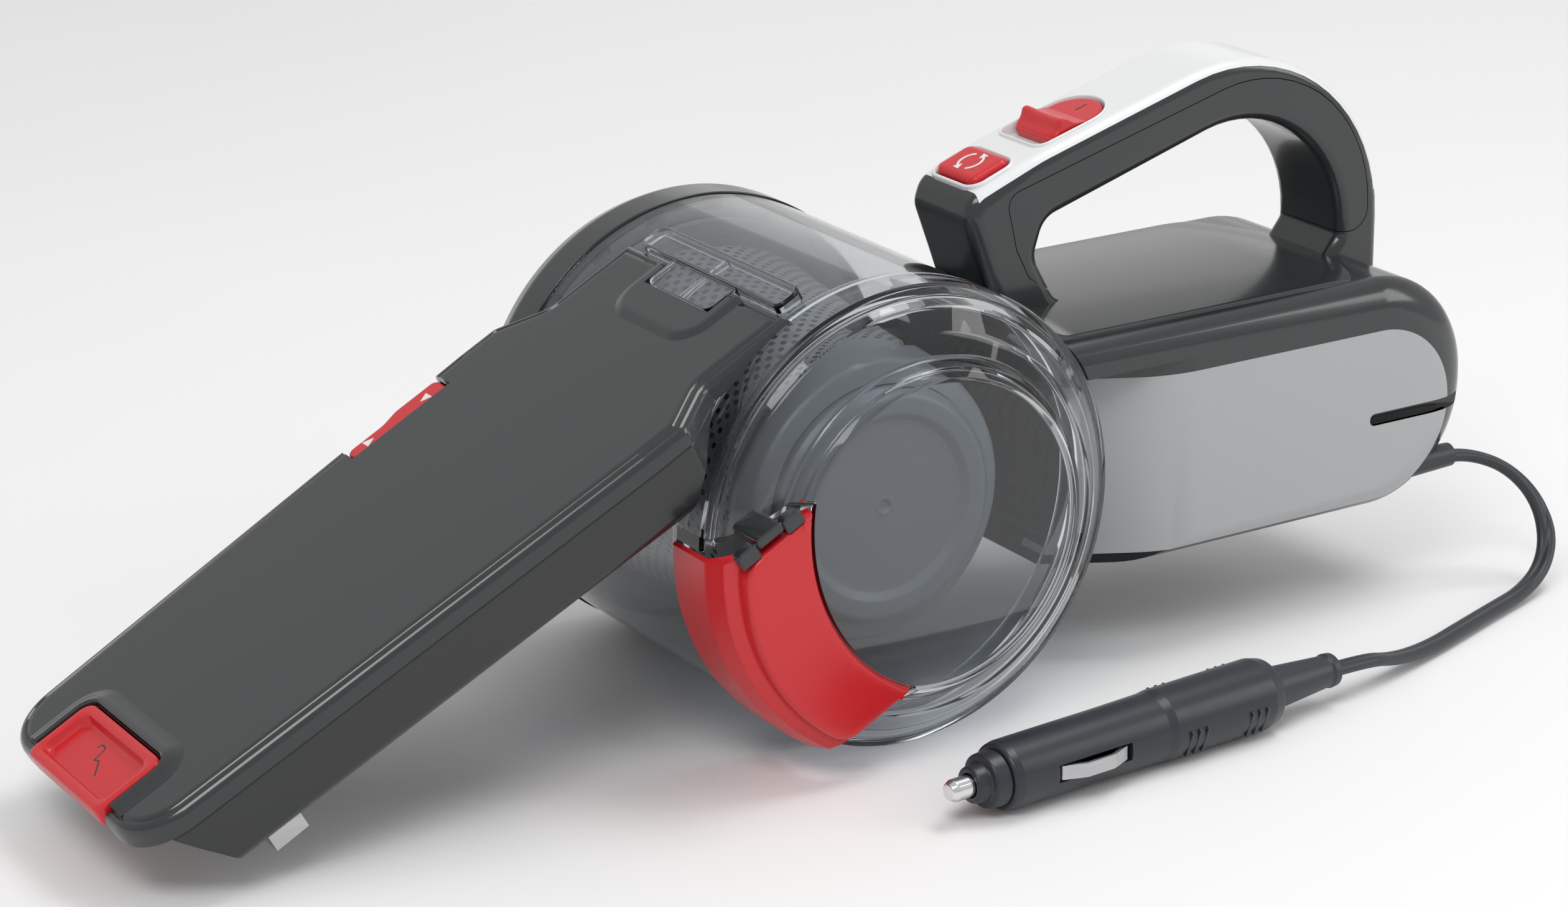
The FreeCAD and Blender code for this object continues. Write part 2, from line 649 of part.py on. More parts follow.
def make_lock():
    """The toothed ring on the drum and the bar that locks it, worked by the pivot button."""
    near = size.drum_far
    teeth = ring("detent_form", "65.5", "61.5", "3.4", (0, near, 0))
    notches = [block("notch%d" % step, (63.2, near - 1, -3.4), (70, near + 4, 3.4)) for step in range(20)]
    for step, notch in enumerate(notches):
        turn = Turn(V(0, 1, 0), 18 * step + size.arm_pitch - 13.4)
        notch.Placement = Place(turn.multVec(notch.Placement.Base), turn)
    in_arm("detent_ring", cut("detent_ring", teeth, *notches))
    beam = block("lock_beam", (80, -5, 12), (85, near + 3, 18))
    wedge = block("lock_wedge", (77.2, -5, 14), (85, 5, 27))
    nose = block("lock_nose", (64.7, near + 0.9, 12.4), (84, near + 3, 17.2))
    in_body("lock_bar", fuse("lock_bar", beam, wedge, nose))


def make_screws():
    """The tub's screws, sunk in the near half's posts, and the bosses that they bite into."""
    screws = []
    for number, (x, z) in enumerate(SCREWS):
        head = cylinder("tub_screw_head%d" % number, "2.8", "1.8", (x, -7.8, z))
        shank = cylinder("tub_screw_shank%d" % number, "1.4", "24", (x, -6, z))
        screws.append(fuse("tub_screw%d" % number, head, shank))
    in_body("housing_screws", group("housing_screws", screws))
    bosses = [ring("boss%d" % number, "3.6", "1.4", "47.2", (x, -2.5, z)) for number, (x, z) in enumerate(SCREWS)]
    in_body("screw_bosses", group("screw_bosses", bosses))


# ---- drum, cover and door ----------------------------------------------------------------------


def make_drum():
    """The clear drum, open on the near side, with the nozzle's port in its wall."""
    outer = size.drum_radius
    inner = outer - size.drum_wall
    bore = size.bearing_radius + size.bearing_play
    near = size.drum_near
    far = size.drum_far
    form = turned("drum_form", [[(outer, near), (outer, far), (bore, far), (bore, far - 2.5),
                                 (inner, far - 2.5), (inner, near)]])
    port = block("drum_port", (-64, -41, 48.5), (-18, 41, 67.8))
    in_arm("dust_drum", cut("dust_drum", form, port))


def door_zone(name, gap):
    """The part of the cover that the dump door takes, grown by gap."""
    half = size.door_half + gap
    zone = block(name + "_zone", (-90, -90, -half), (0, -42.8, half))
    return cut(name, zone, cylinder(name + "_arc", "door_arc - %g" % gap, "60", (size.door_arc_x, -95, 0)))


def door_knuckle(name, start, end, radius):
    return cylinder(name, "%g" % radius, "%g" % (end - start), (start, size.hinge_y, size.hinge_z), "X")


def make_cover():
    """The clear near cover: rim, stepped shoulder and raised round face."""
    rim = size.rim_radius
    plane = size.rim_near
    face = size.face_near
    edge = size.drum_near - 0.5
    wall = size.drum_wall
    outline = [(0, face), (edge_radius(-2), face, 1.5), (edge_radius(0.6), face + 2.2, 0.8),
               (edge_radius(2.4), face + 7, 2), (60, face + 10.5), (66.4, plane - 2.2, 2), (rim - 0.6, plane - 1),
               (rim, plane + 0.6), (rim, edge), (rim - 2.8, edge), (rim - 2.8, edge + 5), (rim - 4.6, edge + 5),
               (rim - 4.6, plane + 3), (58.5, face + 12.6), (edge_radius(0.6), face + 9.2, 2),
               (edge_radius(-1.6), face + wall + 1, 1), (0, face + wall)]
    form = turned("cover_form", [outline])
    middle = door_knuckle("cover_knuckle", -50, -41, 2.0)
    arm = block("cover_knuckle_arm", (-50, size.hinge_y - 0.6, size.door_half + 0.6), (-41, -64, size.hinge_z + 2))
    barrel = fuse("cover_barrel", form, middle, arm)
    knuckles = [door_knuckle("knuckle_room%d" % number, start - 0.35, end + 0.35, 2.5)
                for number, (start, end) in enumerate(((-57.5, -50.35), (-40.65, -34)))]
    pin_hole = door_knuckle("cover_pin_hole", -60, -33, size.hinge_radius)
    in_arm("clear_cover", cut("clear_cover", barrel, door_zone("cover_opening", size.door_gap), *knuckles,
                              pin_hole))
    in_arm("cover_seal", ring("cover_seal", "drum_radius - 0.1", "drum_radius - 1.9", "0.4", (0, edge, 0)))
    in_arm("door_pin", door_knuckle("door_pin_form", -57.5, -34, size.hinge_radius))


def edge_radius(step):
    """A radius beside the edge of the cover's raised face."""
    return size.face_radius + step


def make_door():
    """The red dump door: raised pad, groove, shoulder and skirt round the drum."""
    skirt = size.door_skirt
    face = size.face_near
    end = size.drum_near - 0.8
    outline = [(35, face), (65.2, face, 1.0), (66.2, face + 3.2), (68.2, face + 4.6, 1.2), (skirt, face + 11, 4),
               (skirt, end), (skirt - 1.3, end), (skirt - 1.3, face + 12.5, 3), (64, face + 5.4), (35, face + 2.6)]
    form = cut("door_form", common("door_blank", turned("door_turned", [outline]), door_zone("door_place", 0.0)),
               door_knuckle("door_edge_room", -90, -20, 2.45),
               block("door_corner_room", (-34.2, size.face_near + 1.3, 26), (-24, -60, 37.5)))
    knuckles = []
    for number, (start, finish) in enumerate(((-57.2, -50.35), (-40.65, -34.3))):
        lug = block("door_lug%d" % number, (start, size.hinge_y - 0.6, size.door_half - 1.5),
                    (finish, size.hinge_y + 1.6, size.hinge_z))
        knuckles += [door_knuckle("door_knuckle%d" % number, start, finish, 1.9), lug]
    hole = door_knuckle("door_pin_hole", -60, -33, size.hinge_radius + 0.05)
    in_arm("dump_door", cut("dump_door", fuse("dump_door", form, *knuckles), hole))


# ---- nozzle ------------------------------------------------------------------------------------


def nozzle_outline(inset=0.0):
    """The nozzle seen from above: round tip, wide shoulders and a neck over the drum."""
    tip = size.arm_tip - inset
    half_tip = size.arm_half_tip - inset
    half_root = size.arm_half_root - inset
    half_neck = size.arm_half_neck - inset
    side = [(-tip, -half_tip, 17 - inset), (-60, -half_root, 30), (-46, -half_root, 6), (-31, -half_neck, 9),
            (1 - inset, -half_neck)]
    other = [(corner[0], -corner[1]) + tuple(corner[2:]) for corner in reversed(side)]
    return side + other


def slanted_mouth(name, forward=0.0):
    """Everything in front of the slanted mouth at the nozzle's underside."""
    lean = math.atan2(14, 20)
    solid = block(name, (0, 0, 0), (60, 120, 90))
    top = V(-size.arm_tip + 8 - forward - 30 * math.sin(lean), -60, 67 + 30 * math.cos(lean))
    solid.Placement = Place(top, Turn(V(0, 1, 0), 180 - math.degrees(lean)))
    return solid


def latch_space(name, gap):
    half = size.latch_half + gap
    return plan_pad(name, [[(-size.arm_tip - 20, -half), (-size.arm_tip + size.latch_length + gap, -half, 5),
                            (-size.arm_tip + size.latch_length + gap, half, 5), (-size.arm_tip - 20, half)]],
                    "arm_top - 5.6", "arm_top + 12")


def make_nozzle():
    """Top cover, lower duct and the clear connector over the drum."""
    tray = cut("nozzle_tray", plan_pad("tray_outside", [nozzle_outline()], "arm_seam", "arm_top"),
               plan_pad("tray_inside", [nozzle_outline(size.duct_wall)], "arm_seam - 1", "arm_top - 2.2"))
    notch = block("release_notch", (-106.5, 44.5, 60), (-69.5, 70, 90))
    tongue = block("tongue_notch", (-10.3, -18.3, 60), (5, 18.3, 80))
    drum_space = cylinder("tray_drum_space", "drum_radius + 0.6", "140", (0, -70, 0))
    tray_end = block("tray_front_opening", (-size.arm_tip - 5, -27, size.arm_seam - 2), (-222, 27, 68.4))
    in_arm("nozzle_cover", cut("nozzle_cover", tray, notch, tongue, drum_space, tray_end,
                               latch_space("cover_latch_space", 0.4)))
    channel_low = size.duct_bottom + size.duct_wall
    channel_half = size.duct_half - size.duct_wall
    shell = cut("duct_shell", plan_pad("shell_outside", [nozzle_outline(0.3)], "duct_bottom", "arm_seam - 0.1"),
                plan_pad("shell_inside", [nozzle_outline(2.4)], "duct_bottom + duct_wall", "arm_seam + 5"),
                cylinder("shell_rim_space", "rim_radius + 2.2", "140", (0, -70, 0)))
    within = plan_pad("duct_limit", [nozzle_outline(2.2)], "duct_bottom - 1", "arm_top")
    tube = common("duct_tube", within, block("duct_outside", (-231, -size.duct_half, size.duct_bottom),
                                             (-20, size.duct_half, 70.0)))
    ledge = block("release_ledge", (-108, 42, 60.0), (-68, 52, 61.6))
    low = size.duct_bottom + size.duct_wall
    half = size.duct_half - size.duct_wall
    channel = block("duct_channel", (-240, -half, low), (-10, half, 67.8))
    in_arm("nozzle_duct", cut("nozzle_duct", fuse("duct_form", tube, shell, ledge), channel,
                              slanted_mouth("duct_mouth"), latch_space("duct_latch_space", 0.4),
                              block("release_space", (-106.5, 44.5, 61.6), (-69.5, 70, 90)),
                              cylinder("duct_drum_space", "drum_radius", "140", (0, -70, 0))))
    bar = plan_pad("connector_bar", [[(1.3, -39.5), (11, -39.5, 5), (11, 39.5, 5), (1.3, 39.5)]], "60", "arm_top + 0.2")
    tongue_bar = block("connector_tongue", (-10, -18, 69.7), (2, 18, size.arm_top + 0.2))
    in_arm("duct_connector", cut("duct_connector", fuse("connector_form", bar, tongue_bar),
                                 cylinder("connector_drum_space", "drum_radius", "140", (0, -70, 0)),
                                 block("connector_pocket", (3, -36, 50), (9, 36, 70.6))))
    in_arm("nozzle_clip", block("nozzle_clip", (-203, -46, 41.0), (-192, -36, size.duct_bottom)))
    in_arm("inlet_flap", fuse("inlet_flap", block("flap_plate", (-54.6, -39, 49.5), (-53.4, 39, 66.6)),
                              cylinder("flap_pin", "0.9", "78", (-54, -39, 66.6))))
    screws = [cylinder("nozzle_screw%d" % number, "1.1", "12", (x, y, size.duct_bottom + 10), "Z")
              for number, (x, y) in enumerate(((-130, -45.5), (-130, 45.5), (-190, -45.2), (-190, 45.2)))]
    in_arm("nozzle_screws", group("nozzle_screws", screws))


def make_crevice_tool():
    """The pull-out crevice tool with its red latch, and the release button on the far side."""
    gap = size.tool_gap
    low = size.duct_bottom + size.duct_wall + gap
    half = size.duct_half - size.duct_wall - gap
    high = 65.0
    wall = size.tool_wall
    outside = block("tool_outside", (-240, -half, low), (-120, half, high))
    inside = block("tool_inside", (-250, -half + wall, low + wall), (-110, half - wall, high - wall))
    in_arm("crevice_tool", cut("crevice_tool", outside, inside, slanted_mouth("tool_mouth", 1.0)))
    front = -size.arm_tip
    rear = front + size.latch_length
    plate = plan_pad("latch_plate", [[(front - 0.6, -size.latch_half, 2.5), (rear, -size.latch_half, 5),
                                      (rear, size.latch_half, 5), (front - 0.6, size.latch_half, 2.5)]],
                     "arm_top - 4.6", "arm_top + 1.6")
    thumb = plan_pad("latch_thumb", [[(front + 4, -19, 4), (rear - 3.5, -19, 4), (rear - 3.5, 19, 4),
                                      (front + 4, 19, 4)]], "arm_top - 1.2", "arm_top + 5")
    in_arm("tip_latch", cut("tip_latch", plate, thumb))
    in_arm("latch_spring", block("latch_spring", (-228, -6, high), (-218, 6, high + 1)))
    button = plan_pad("release_form", [[(-105.8, 45.0, 2.5), (-70.2, 45.0, 2.5), (-70.2, 53.6, 2.5), (-86, 53.6, 6),
                                        (-92, 51.6, 6), (-105.8, 51.6, 2.5)]], "63.8", "70.4")
    in_arm("nozzle_release", button)


# ---- flexible lead and 12 V plug ---------------------------------------------------------------

# Where the lead runs, in the drum frame: out of the gland, down to the floor and forward.
CORD_ROUTE = [(203, -42, -26.5), (215.5, -42, -26.5), (227, -43.4, -28.6), (237, -47.6, -33.5),
              (243, -54.3, -42), (244, -60.5, -53), (238, -65.5, -62), (226, -69.8, -66.9), (209, -75.6, -67.0),
              (190, -82.6, -66.9), (171, -89.5, -67.0), (152, -95.6, -64.8), (134, -100.8, -59.0),
              (91.7, -104.3, -59.0)]


def cord_wire(points):
    """Straight runs joined by tangent arcs, each as large as its two runs allow."""
    corners = [V(*point) for point in points]
    edges = []
    radii = []
    last = corners[0]
    for before, here, after in zip(corners, corners[1:], corners[2:]):
        back = before - here
        ahead = after - here
        shorter = min(back.Length, ahead.Length)
        back.normalize()
        ahead.normalize()
        half_turn = (math.pi - back.getAngle(ahead)) / 2
        reach = 0.45 * shorter
        radius = reach / math.tan(half_turn)
        inward = back + ahead
        inward.normalize()
        start = here + back * reach
        end = here + ahead * reach
        middle = here + inward * (radius / math.cos(half_turn) - radius)
        edges.append(Part.LineSegment(last, start).toShape())
        edges.append(Part.Arc(start, middle, end).toShape())
        radii.append(round(radius, 1))
        last = end
    edges.append(Part.LineSegment(last, corners[-1]).toShape())
    return Part.Wire(edges), radii


def make_cord():
    wire, radii = cord_wire(CORD_ROUTE)
    first = V(*CORD_ROUTE[0])
    heading = V(*CORD_ROUTE[1]) - first
    section = Part.Wire([Part.Circle(first, heading, size.cord_radius).toShape()])
    tube = wire.makePipeShell([section], True, False)
    expected = math.pi * size.cord_radius ** 2 * wire.Length
    print("cord length %.1f mm, radii %s, volume ratio %.4f" % (wire.Length, radii, tube.Volume / expected))
    feature = doc.addObject("Part::Feature", "cord_tube")
    feature.Shape = tube
    in_body("cord", feature)
    in_body("cord_gland", cut("cord_gland", cone("gland_form", "4.6", "cord_radius + 0.8", "20.5", GLAND_START, "X"),
                              cylinder("gland_bore", "cord_radius", "30", GLAND_START, "X")))


def in_plug(label, feature):
    """A sub-part modelled along the plug's axis: X from the front of its body to its cord end."""
    feature = settled(feature, label)
    feature.Placement = Place(V(), Turn(V(0, 0, 1), size.plug_yaw))
    bind(feature, "Placement.Base.x", "pivot_x + plug_x")
    bind(feature, "Placement.Base.y", "pivot_y + plug_y")
    bind(feature, "Placement.Base.z", "plug_radius")
    return feature


def plug_turned(name, outline):
    """An outline of (radius, X) turned round the plug's axis."""
    return turned_along_x(name, [outline])


def turned_along_x(name, loops):
    body, sketch = sketched(name, "XY_Plane", loops)
    turn = body.newObject("PartDesign::Revolution", name + "_turn")
    turn.Profile = sketch
    turn.ReferenceAxis = (sketch, ["H_Axis"])
    turn.Angle = 360
    return body


def make_plug():
    """The 12 V plug: body, screwed nose, centre contact and two side springs."""
    radius = size.plug_radius
    length = size.plug_length
    shell = turned_along_x("plug_shell", [[(0, 4), (0, radius - 1.6, 1), (4, radius - 0.6), (length * 0.52, radius - 0.3),
                                           (length - 4, radius, 1.5), (length, radius - 3), (length, 4)]])
    windows = [block("contact_window%d" % side, (15.5, -2.6, 0), (42.5, 2.6, 14)) for side in (0, 1)]
    windows[0].Placement = Place(V(15.5, 0, 0) + V(0, -14, -2.6), Turn())
    windows[0].Length, windows[0].Width, windows[0].Height = 27, 28, 5.2
    in_plug("plug_body", cut("plug_body", shell, windows[0]))
    in_plug("plug_nose", turned_along_x("plug_nose", [[(-9.5, 3.7), (-9.5, 5.2, 0.8), (-5, 5.8), (-4.4, 8.2, 0.6),
                                                       (0, 8.2), (0, 3.7)]]))
    in_plug("plug_contact", turned_along_x("plug_contact", [[(-17, 0), (-17, 2.6, 0.8), (-15.2, 3.4, 0.6),
                                                             (-2, 3.4), (-2, 0)]]))
    in_plug("plug_fuse", cylinder("plug_fuse", "3.1", "30", (3, 0, 0), "X"))
    for side, name in ((-1, "near"), (1, "far")):
        low = 6.5 if side > 0 else -12.6
        leaf = plan_pad("contact_leaf_" + name, [[(17.5, side * 6.9), (17.5, side * 10.4), (24, side * 12.4, 4),
                                                  (34, side * 12.4, 4), (40.5, side * 10.4), (40.5, side * 6.9)]],
                        "-2.2", "2.2")
        in_plug("side_contact_" + name, leaf)
    relief = cone("relief_form", "6.4", "cord_radius + 0.9", "27", (length, 0, 0), "X")
    bore = cylinder("relief_bore", "cord_radius + 0.5", "29", (length - 1, 0, 0), "X")
    in_plug("plug_relief", cut("plug_relief", relief, bore))


# ---- whole model -------------------------------------------------------------------------------


make_side_panels()
make_tub()
make_strip()
make_handle()
make_controls()
make_hub()
make_filter()
make_motor()
make_lock()
make_screws()
make_drum()
make_cover()
make_door()
make_nozzle()
make_crevice_tool()
make_cord()
make_plug()
doc.recompute()

faults = [item.Name for item in doc.Objects if "Invalid" in item.State or "Error" in item.State]
if faults:
    raise RuntimeError("failed features: %s" % ", ".join(faults))
os.makedirs("parts", exist_ok=True)
box = FreeCAD.BoundBox()
for node in nodes:
    shape = node.Shape
    if shape.isNull() or not shape.isValid() or not shape.Solids:
        raise RuntimeError("bad shape: " + node.Label)
    if node.Label != "cord" and not node.Label.startswith(("plug", "side_contact")):
        box.add(shape.BoundBox)
    shape.exportStep("parts/%s.step" % node.Label)
print("%d nodes, box %s" % (len(nodes), box))
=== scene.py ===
"""The looks of a 12 V handheld vacuum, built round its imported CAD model.

Outlines are in millimetres, in the CAD's own frames: the drum frame has its origin on the drum's
axis at the middle of the body's width, and the arm frame is the same one pitched down the nozzle.
"""

import json
import math

import bmesh
import bpy
from mathutils import Matrix, Vector


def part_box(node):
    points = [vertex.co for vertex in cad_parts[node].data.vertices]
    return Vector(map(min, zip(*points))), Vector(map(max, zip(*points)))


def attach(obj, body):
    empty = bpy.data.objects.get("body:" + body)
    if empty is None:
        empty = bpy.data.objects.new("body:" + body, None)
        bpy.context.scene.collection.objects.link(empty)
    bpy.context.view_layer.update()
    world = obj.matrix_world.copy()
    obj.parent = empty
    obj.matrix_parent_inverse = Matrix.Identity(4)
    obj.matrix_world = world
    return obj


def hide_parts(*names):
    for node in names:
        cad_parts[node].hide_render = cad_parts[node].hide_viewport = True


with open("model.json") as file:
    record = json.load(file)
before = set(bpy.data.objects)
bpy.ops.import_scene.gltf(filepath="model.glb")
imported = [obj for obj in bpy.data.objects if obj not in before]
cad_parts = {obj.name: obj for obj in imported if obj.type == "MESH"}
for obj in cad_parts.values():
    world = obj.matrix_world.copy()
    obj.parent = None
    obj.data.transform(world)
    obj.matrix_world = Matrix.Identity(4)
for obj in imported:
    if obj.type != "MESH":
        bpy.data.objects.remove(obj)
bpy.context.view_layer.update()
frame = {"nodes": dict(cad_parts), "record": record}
NODES = frame["nodes"]
MM = 0.001


def middle(node):
    low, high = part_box(node)
    return (low + high) / 2


AXIS = Vector((middle("hub_cap").x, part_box("handle_near")[1].y, middle("hub_cap").z))
DRUM = Matrix.Translation(AXIS) @ Matrix.Scale(MM, 4)
ARM_PITCH = 28.0    # the nozzle's slope at rest, in degrees
ARM = DRUM @ Matrix.Rotation(math.radians(-ARM_PITCH), 4, "Y")
PLUG_YAW = 4.7      # the plug's turn on the ground, in degrees
PLUG = (Matrix.Translation((AXIS.x - 8 * MM, AXIS.y - 112.5 * MM, 11 * MM))
        @ Matrix.Rotation(math.radians(PLUG_YAW), 4, "Z") @ Matrix.Scale(MM, 4))
BAR_SLOPE = 0.289   # the handle bar's rise
BAR_START = (50.5, 81.2)
BAR = (DRUM @ Matrix.Translation((BAR_START[0], 0, BAR_START[1]))
       @ Matrix.Rotation(-math.atan(BAR_SLOPE), 4, "Y"))
NOSE = DRUM @ Matrix.Translation((50.5, 0, 79.0)) @ Matrix.Rotation(-math.radians(20.5), 4, "Y")

DRUM_CLEAR = 74.5   # radius kept free round the turning drum
SMOOTH = 192        # segments of a large round piece

# ---- materials ----


class Nodes:
    """A material's node tree, with short calls for what the materials below share."""

    def __init__(self, name):
        self.material = bpy.data.materials.new(name)
        self.material.use_nodes = True
        self.tree = self.material.node_tree
        self.shader = self.tree.nodes["Principled BSDF"]
        self.output = self.tree.nodes["Material Output"]

    def add(self, kind, inputs=None, **settings):
        node = self.tree.nodes.new(kind)
        for key, value in settings.items():
            setattr(node, key, value)
        for key, value in (inputs or {}).items():
            if isinstance(value, bpy.types.NodeSocket):
                self.tree.links.new(value, node.inputs[key])
            else:
                node.inputs[key].default_value = value
        return node

    def math(self, operation, first, second=0.0):
        return self.add("ShaderNodeMath", {0: first, 1: second}, operation=operation).outputs[0]

    def place(self):
        return self.add("ShaderNodeTexCoord").outputs["Object"]

    def noise(self, scale, detail=3.0, vector=None):
        inputs = {"Scale": scale, "Detail": detail, "Vector": vector or self.place()}
        return self.add("ShaderNodeTexNoise", inputs).outputs[0]

    def between(self, value, low, high):
        """A 0 to 1 value, carried to low..high."""
        return self.add("ShaderNodeMapRange", {"Value": value, "To Min": low, "To Max": high}).outputs[0]

    def blend(self, factor, first, second):
        node = self.add("ShaderNodeMix", {0: factor, 6: (*first, 1), 7: (*second, 1)}, data_type="RGBA")
        return node.outputs[2]

    def set(self, **values):
        for key, value in values.items():
            socket = self.shader.inputs[key.replace("_", " ")]
            if isinstance(value, bpy.types.NodeSocket):
                self.tree.links.new(value, socket)
            elif isinstance(value, tuple) and len(value) == 3:
                socket.default_value = (*value, 1)
            else:
                socket.default_value = value

    def bump(self, height, strength, distance):
        inputs = {"Height": height, "Strength": strength, "Distance": distance}
        self.set(Normal=self.add("ShaderNodeBump", inputs).outputs[0])


def moulded(name, colour, rough, coat=0.0, grain=0.10, wear=1.12):
    """Injection-moulded plastic: fine grain, faint flow marks and a slightly uneven gloss."""
    m = Nodes(name)
    flow = m.noise(18.0, 2.0)
    lighter = tuple(min(1.0, c * wear) for c in colour)
    m.set(Base_Color=m.blend(m.between(flow, 0.15, 0.85), colour, lighter),
          Roughness=m.between(m.noise(160.0, 4.0), rough * 0.86, rough * 1.14),
          Coat_Weight=coat, Coat_Roughness=0.08)
    m.bump(m.noise(1500.0, 2.0), grain, 0.00006)
    return m.material


def rubbery(name, colour, rough):
    """Soft matt plastic or rubber with a fine fleck."""
    m = Nodes(name)
    fleck = m.noise(900.0, 5.0)
    m.set(Base_Color=m.blend(fleck, colour, tuple(c * 1.5 + 0.004 for c in colour)),
          Roughness=m.between(m.noise(300.0, 3.0), rough * 0.9, min(1.0, rough * 1.15)))
    m.bump(m.noise(2400.0, 3.0), 0.25, 0.00005)
    return m.material


def bright_metal(name, colour, rough):
    """Plated metal with fine drawn streaks."""
    m = Nodes(name)
    streaks = m.add("ShaderNodeMapping", {"Vector": m.place(), "Scale": (30.0, 900.0, 900.0)}).outputs[0]
    lines = m.noise(1.0, 4.0, streaks)
    m.set(Base_Color=m.blend(lines, colour, tuple(c * 0.8 for c in colour)),
          Metallic=1.0, Roughness=m.between(lines, rough * 0.7, rough * 1.4))
    m.bump(lines, 0.06, 0.00003)
    return m.material


def clear_plastic(name, tint, rough):
    """Clear plastic that bends what is behind it and lets the lamps through."""
    m = Nodes(name)
    haze = m.between(m.noise(40.0, 3.0), rough * 0.6, rough * 1.6)
    m.set(Base_Color=tint, Transmission_Weight=1.0, IOR=1.46, Roughness=haze)
    path = m.add("ShaderNodeLightPath")
    open_to = m.math("MAXIMUM", path.outputs["Is Shadow Ray"], path.outputs["Is Diffuse Ray"])
    passing = m.add("ShaderNodeBsdfTransparent", {"Color": (*tint, 1)})
    mixed = m.add("ShaderNodeMixShader", {0: open_to, 1: m.shader.outputs[0], 2: passing.outputs[0]})
    m.tree.links.new(mixed.outputs[0], m.output.inputs["Surface"])
    return m.material


def perforated(name, solid, painted_hole_shade):
    """A screen with staggered round holes, laid out by angle and height round the drum's axis. The holes are
    not cut: they are painted near-black, as painted shade of the inside seen through them.
    """
    m = Nodes(name)
    parts = m.add("ShaderNodeSeparateXYZ", {0: m.place()})
    side = m.math("SUBTRACT", parts.outputs["X"], AXIS.x)
    up = m.math("SUBTRACT", parts.outputs["Z"], AXIS.z)
    holes = 62.0
    around = m.math("MULTIPLY", m.math("ARCTAN2", side, up), holes)
    along = m.math("MULTIPLY", parts.outputs["Y"], holes / 0.046)
    dots = m.math("MULTIPLY", m.math("SINE", around), m.math("SINE", along))
    rim = m.math("SMOOTH_MIN", m.math("MULTIPLY", m.math("SUBTRACT", dots, 0.28), 9.0), 1.0)
    opening = m.math("MAXIMUM", rim, 0.0)
    # the hole colour is painted shade: the darkness seen through a hole is painted on, not cast
    m.set(Base_Color=m.blend(opening, solid, painted_hole_shade), Roughness=m.between(m.noise(200.0), 0.42, 0.6))
    m.bump(m.math("SUBTRACT", 1.0, opening), 0.8, 0.0004)
    return m.material


def pleated(name, colour):
    """Filter paper with visible fibres."""
    m = Nodes(name)
    fibres = m.noise(1400.0, 6.0)
    m.set(Base_Color=m.blend(fibres, colour, tuple(c * 0.8 for c in colour)), Roughness=0.92)
    m.bump(fibres, 0.5, 0.0001)
    return m.material


def wound(name):
    """Copper windings and lacquered steel of the armature."""
    m = Nodes(name)
    wave = m.add("ShaderNodeTexWave", {"Scale": 420.0, "Distortion": 1.0, "Vector": m.place()}).outputs[0]
    m.set(Base_Color=m.blend(wave, (0.45, 0.17, 0.06), (0.80, 0.42, 0.22)),
          Metallic=0.8, Roughness=0.4)
    m.bump(wave, 0.4, 0.0002)
    return m.material


MATERIALS = {
    "charcoal": moulded("charcoal_moulding", (0.019, 0.0213, 0.0228), 0.2, coat=0.3, grain=0.03),
    "dark": moulded("dark_moulding", (0.014, 0.0155, 0.016), 0.2, coat=0.2, grain=0.05),
    "silver": moulded("silver_moulding", (0.38, 0.388, 0.395), 0.36, grain=0.05, wear=1.05),
    "white": moulded("pale_silver_moulding", (0.72, 0.735, 0.74), 0.3, coat=0.25, grain=0.03, wear=1.04),
    "red": moulded("red_moulding", (0.53, 0.014, 0.019), 0.3, coat=0.05, grain=0.04),
    "clear": clear_plastic("clear_smoky_plastic", (0.79, 0.81, 0.83), 0.02),
    "black": moulded("blue_black_moulding", (0.016, 0.020, 0.026), 0.34, grain=0.25),
    "grip": rubbery("soft_grip", (0.018, 0.019, 0.020), 0.36),
    "grey": moulded("mid_grey_moulding", (0.15, 0.165, 0.175), 0.4, grain=0.12),
    "paper": pleated("filter_paper", (0.62, 0.61, 0.57)),
    # the screen's near-black second colour is painted shade in its holes
    "mesh": perforated("perforated_screen", (0.20, 0.215, 0.225), (0.012, 0.013, 0.014)),
    "steel": bright_metal("steel", (0.56, 0.56, 0.57), 0.3),
    "chrome": bright_metal("bright_plate", (0.80, 0.80, 0.81), 0.14),
    "copper": wound("copper_winding"),
    "rubber": rubbery("flexible_lead", (0.016, 0.019, 0.024), 0.4),
}

# ---- mesh building blocks ----


def rounded(corners, steps=8, closed=True):
    """Points of an outline whose corners (u, v, radius) are rounded off."""
    points = []
    count = len(corners)
    for index, corner in enumerate(corners):
        here = Vector(corner[:2])
        radius = corner[2] if len(corner) == 3 else 0
        if not radius or (not closed and index in (0, count - 1)):
            points.append(here)
            continue
        before = (Vector(corners[index - 1][:2]) - here).normalized()
        after = (Vector(corners[(index + 1) % count][:2]) - here).normalized()
        half = before.angle(after) / 2
        centre = here + (before + after).normalized() * (radius / math.sin(half))
        start = here + before * (radius / math.tan(half)) - centre
        end = here + after * (radius / math.tan(half)) - centre
        first = math.atan2(start.y, start.x)
        turn = (math.atan2(end.y, end.x) - first + math.pi) % (2 * math.pi) - math.pi
        parts = max(2, math.ceil(abs(turn) / (math.pi / 2) * steps))
        for step in range(parts + 1):
            angle = first + turn * step / parts
            points.append(centre + radius * Vector((math.cos(angle), math.sin(angle))))
    return points


def framed(front, rear, half, at_front, at_rear, steps):
    """An outline of four corners, with one radius at its front and one at its rear."""
    return rounded([(front, -half, at_front), (rear, -half, at_rear), (rear, half, at_rear),
                    (front, half, at_front)], steps)


def arc_points(centre, radius, start, end, steps):
    """Points of an arc from one angle to another."""
    angles = [start + (end - start) * step / steps for step in range(steps + 1)]
    return [centre + radius * Vector((math.cos(angle), math.sin(angle))) for angle in angles]


def area_of(loop):
    return sum(a.x * b.y - b.x * a.y for a, b in zip(loop, loop[1:] + loop[:1])) / 2


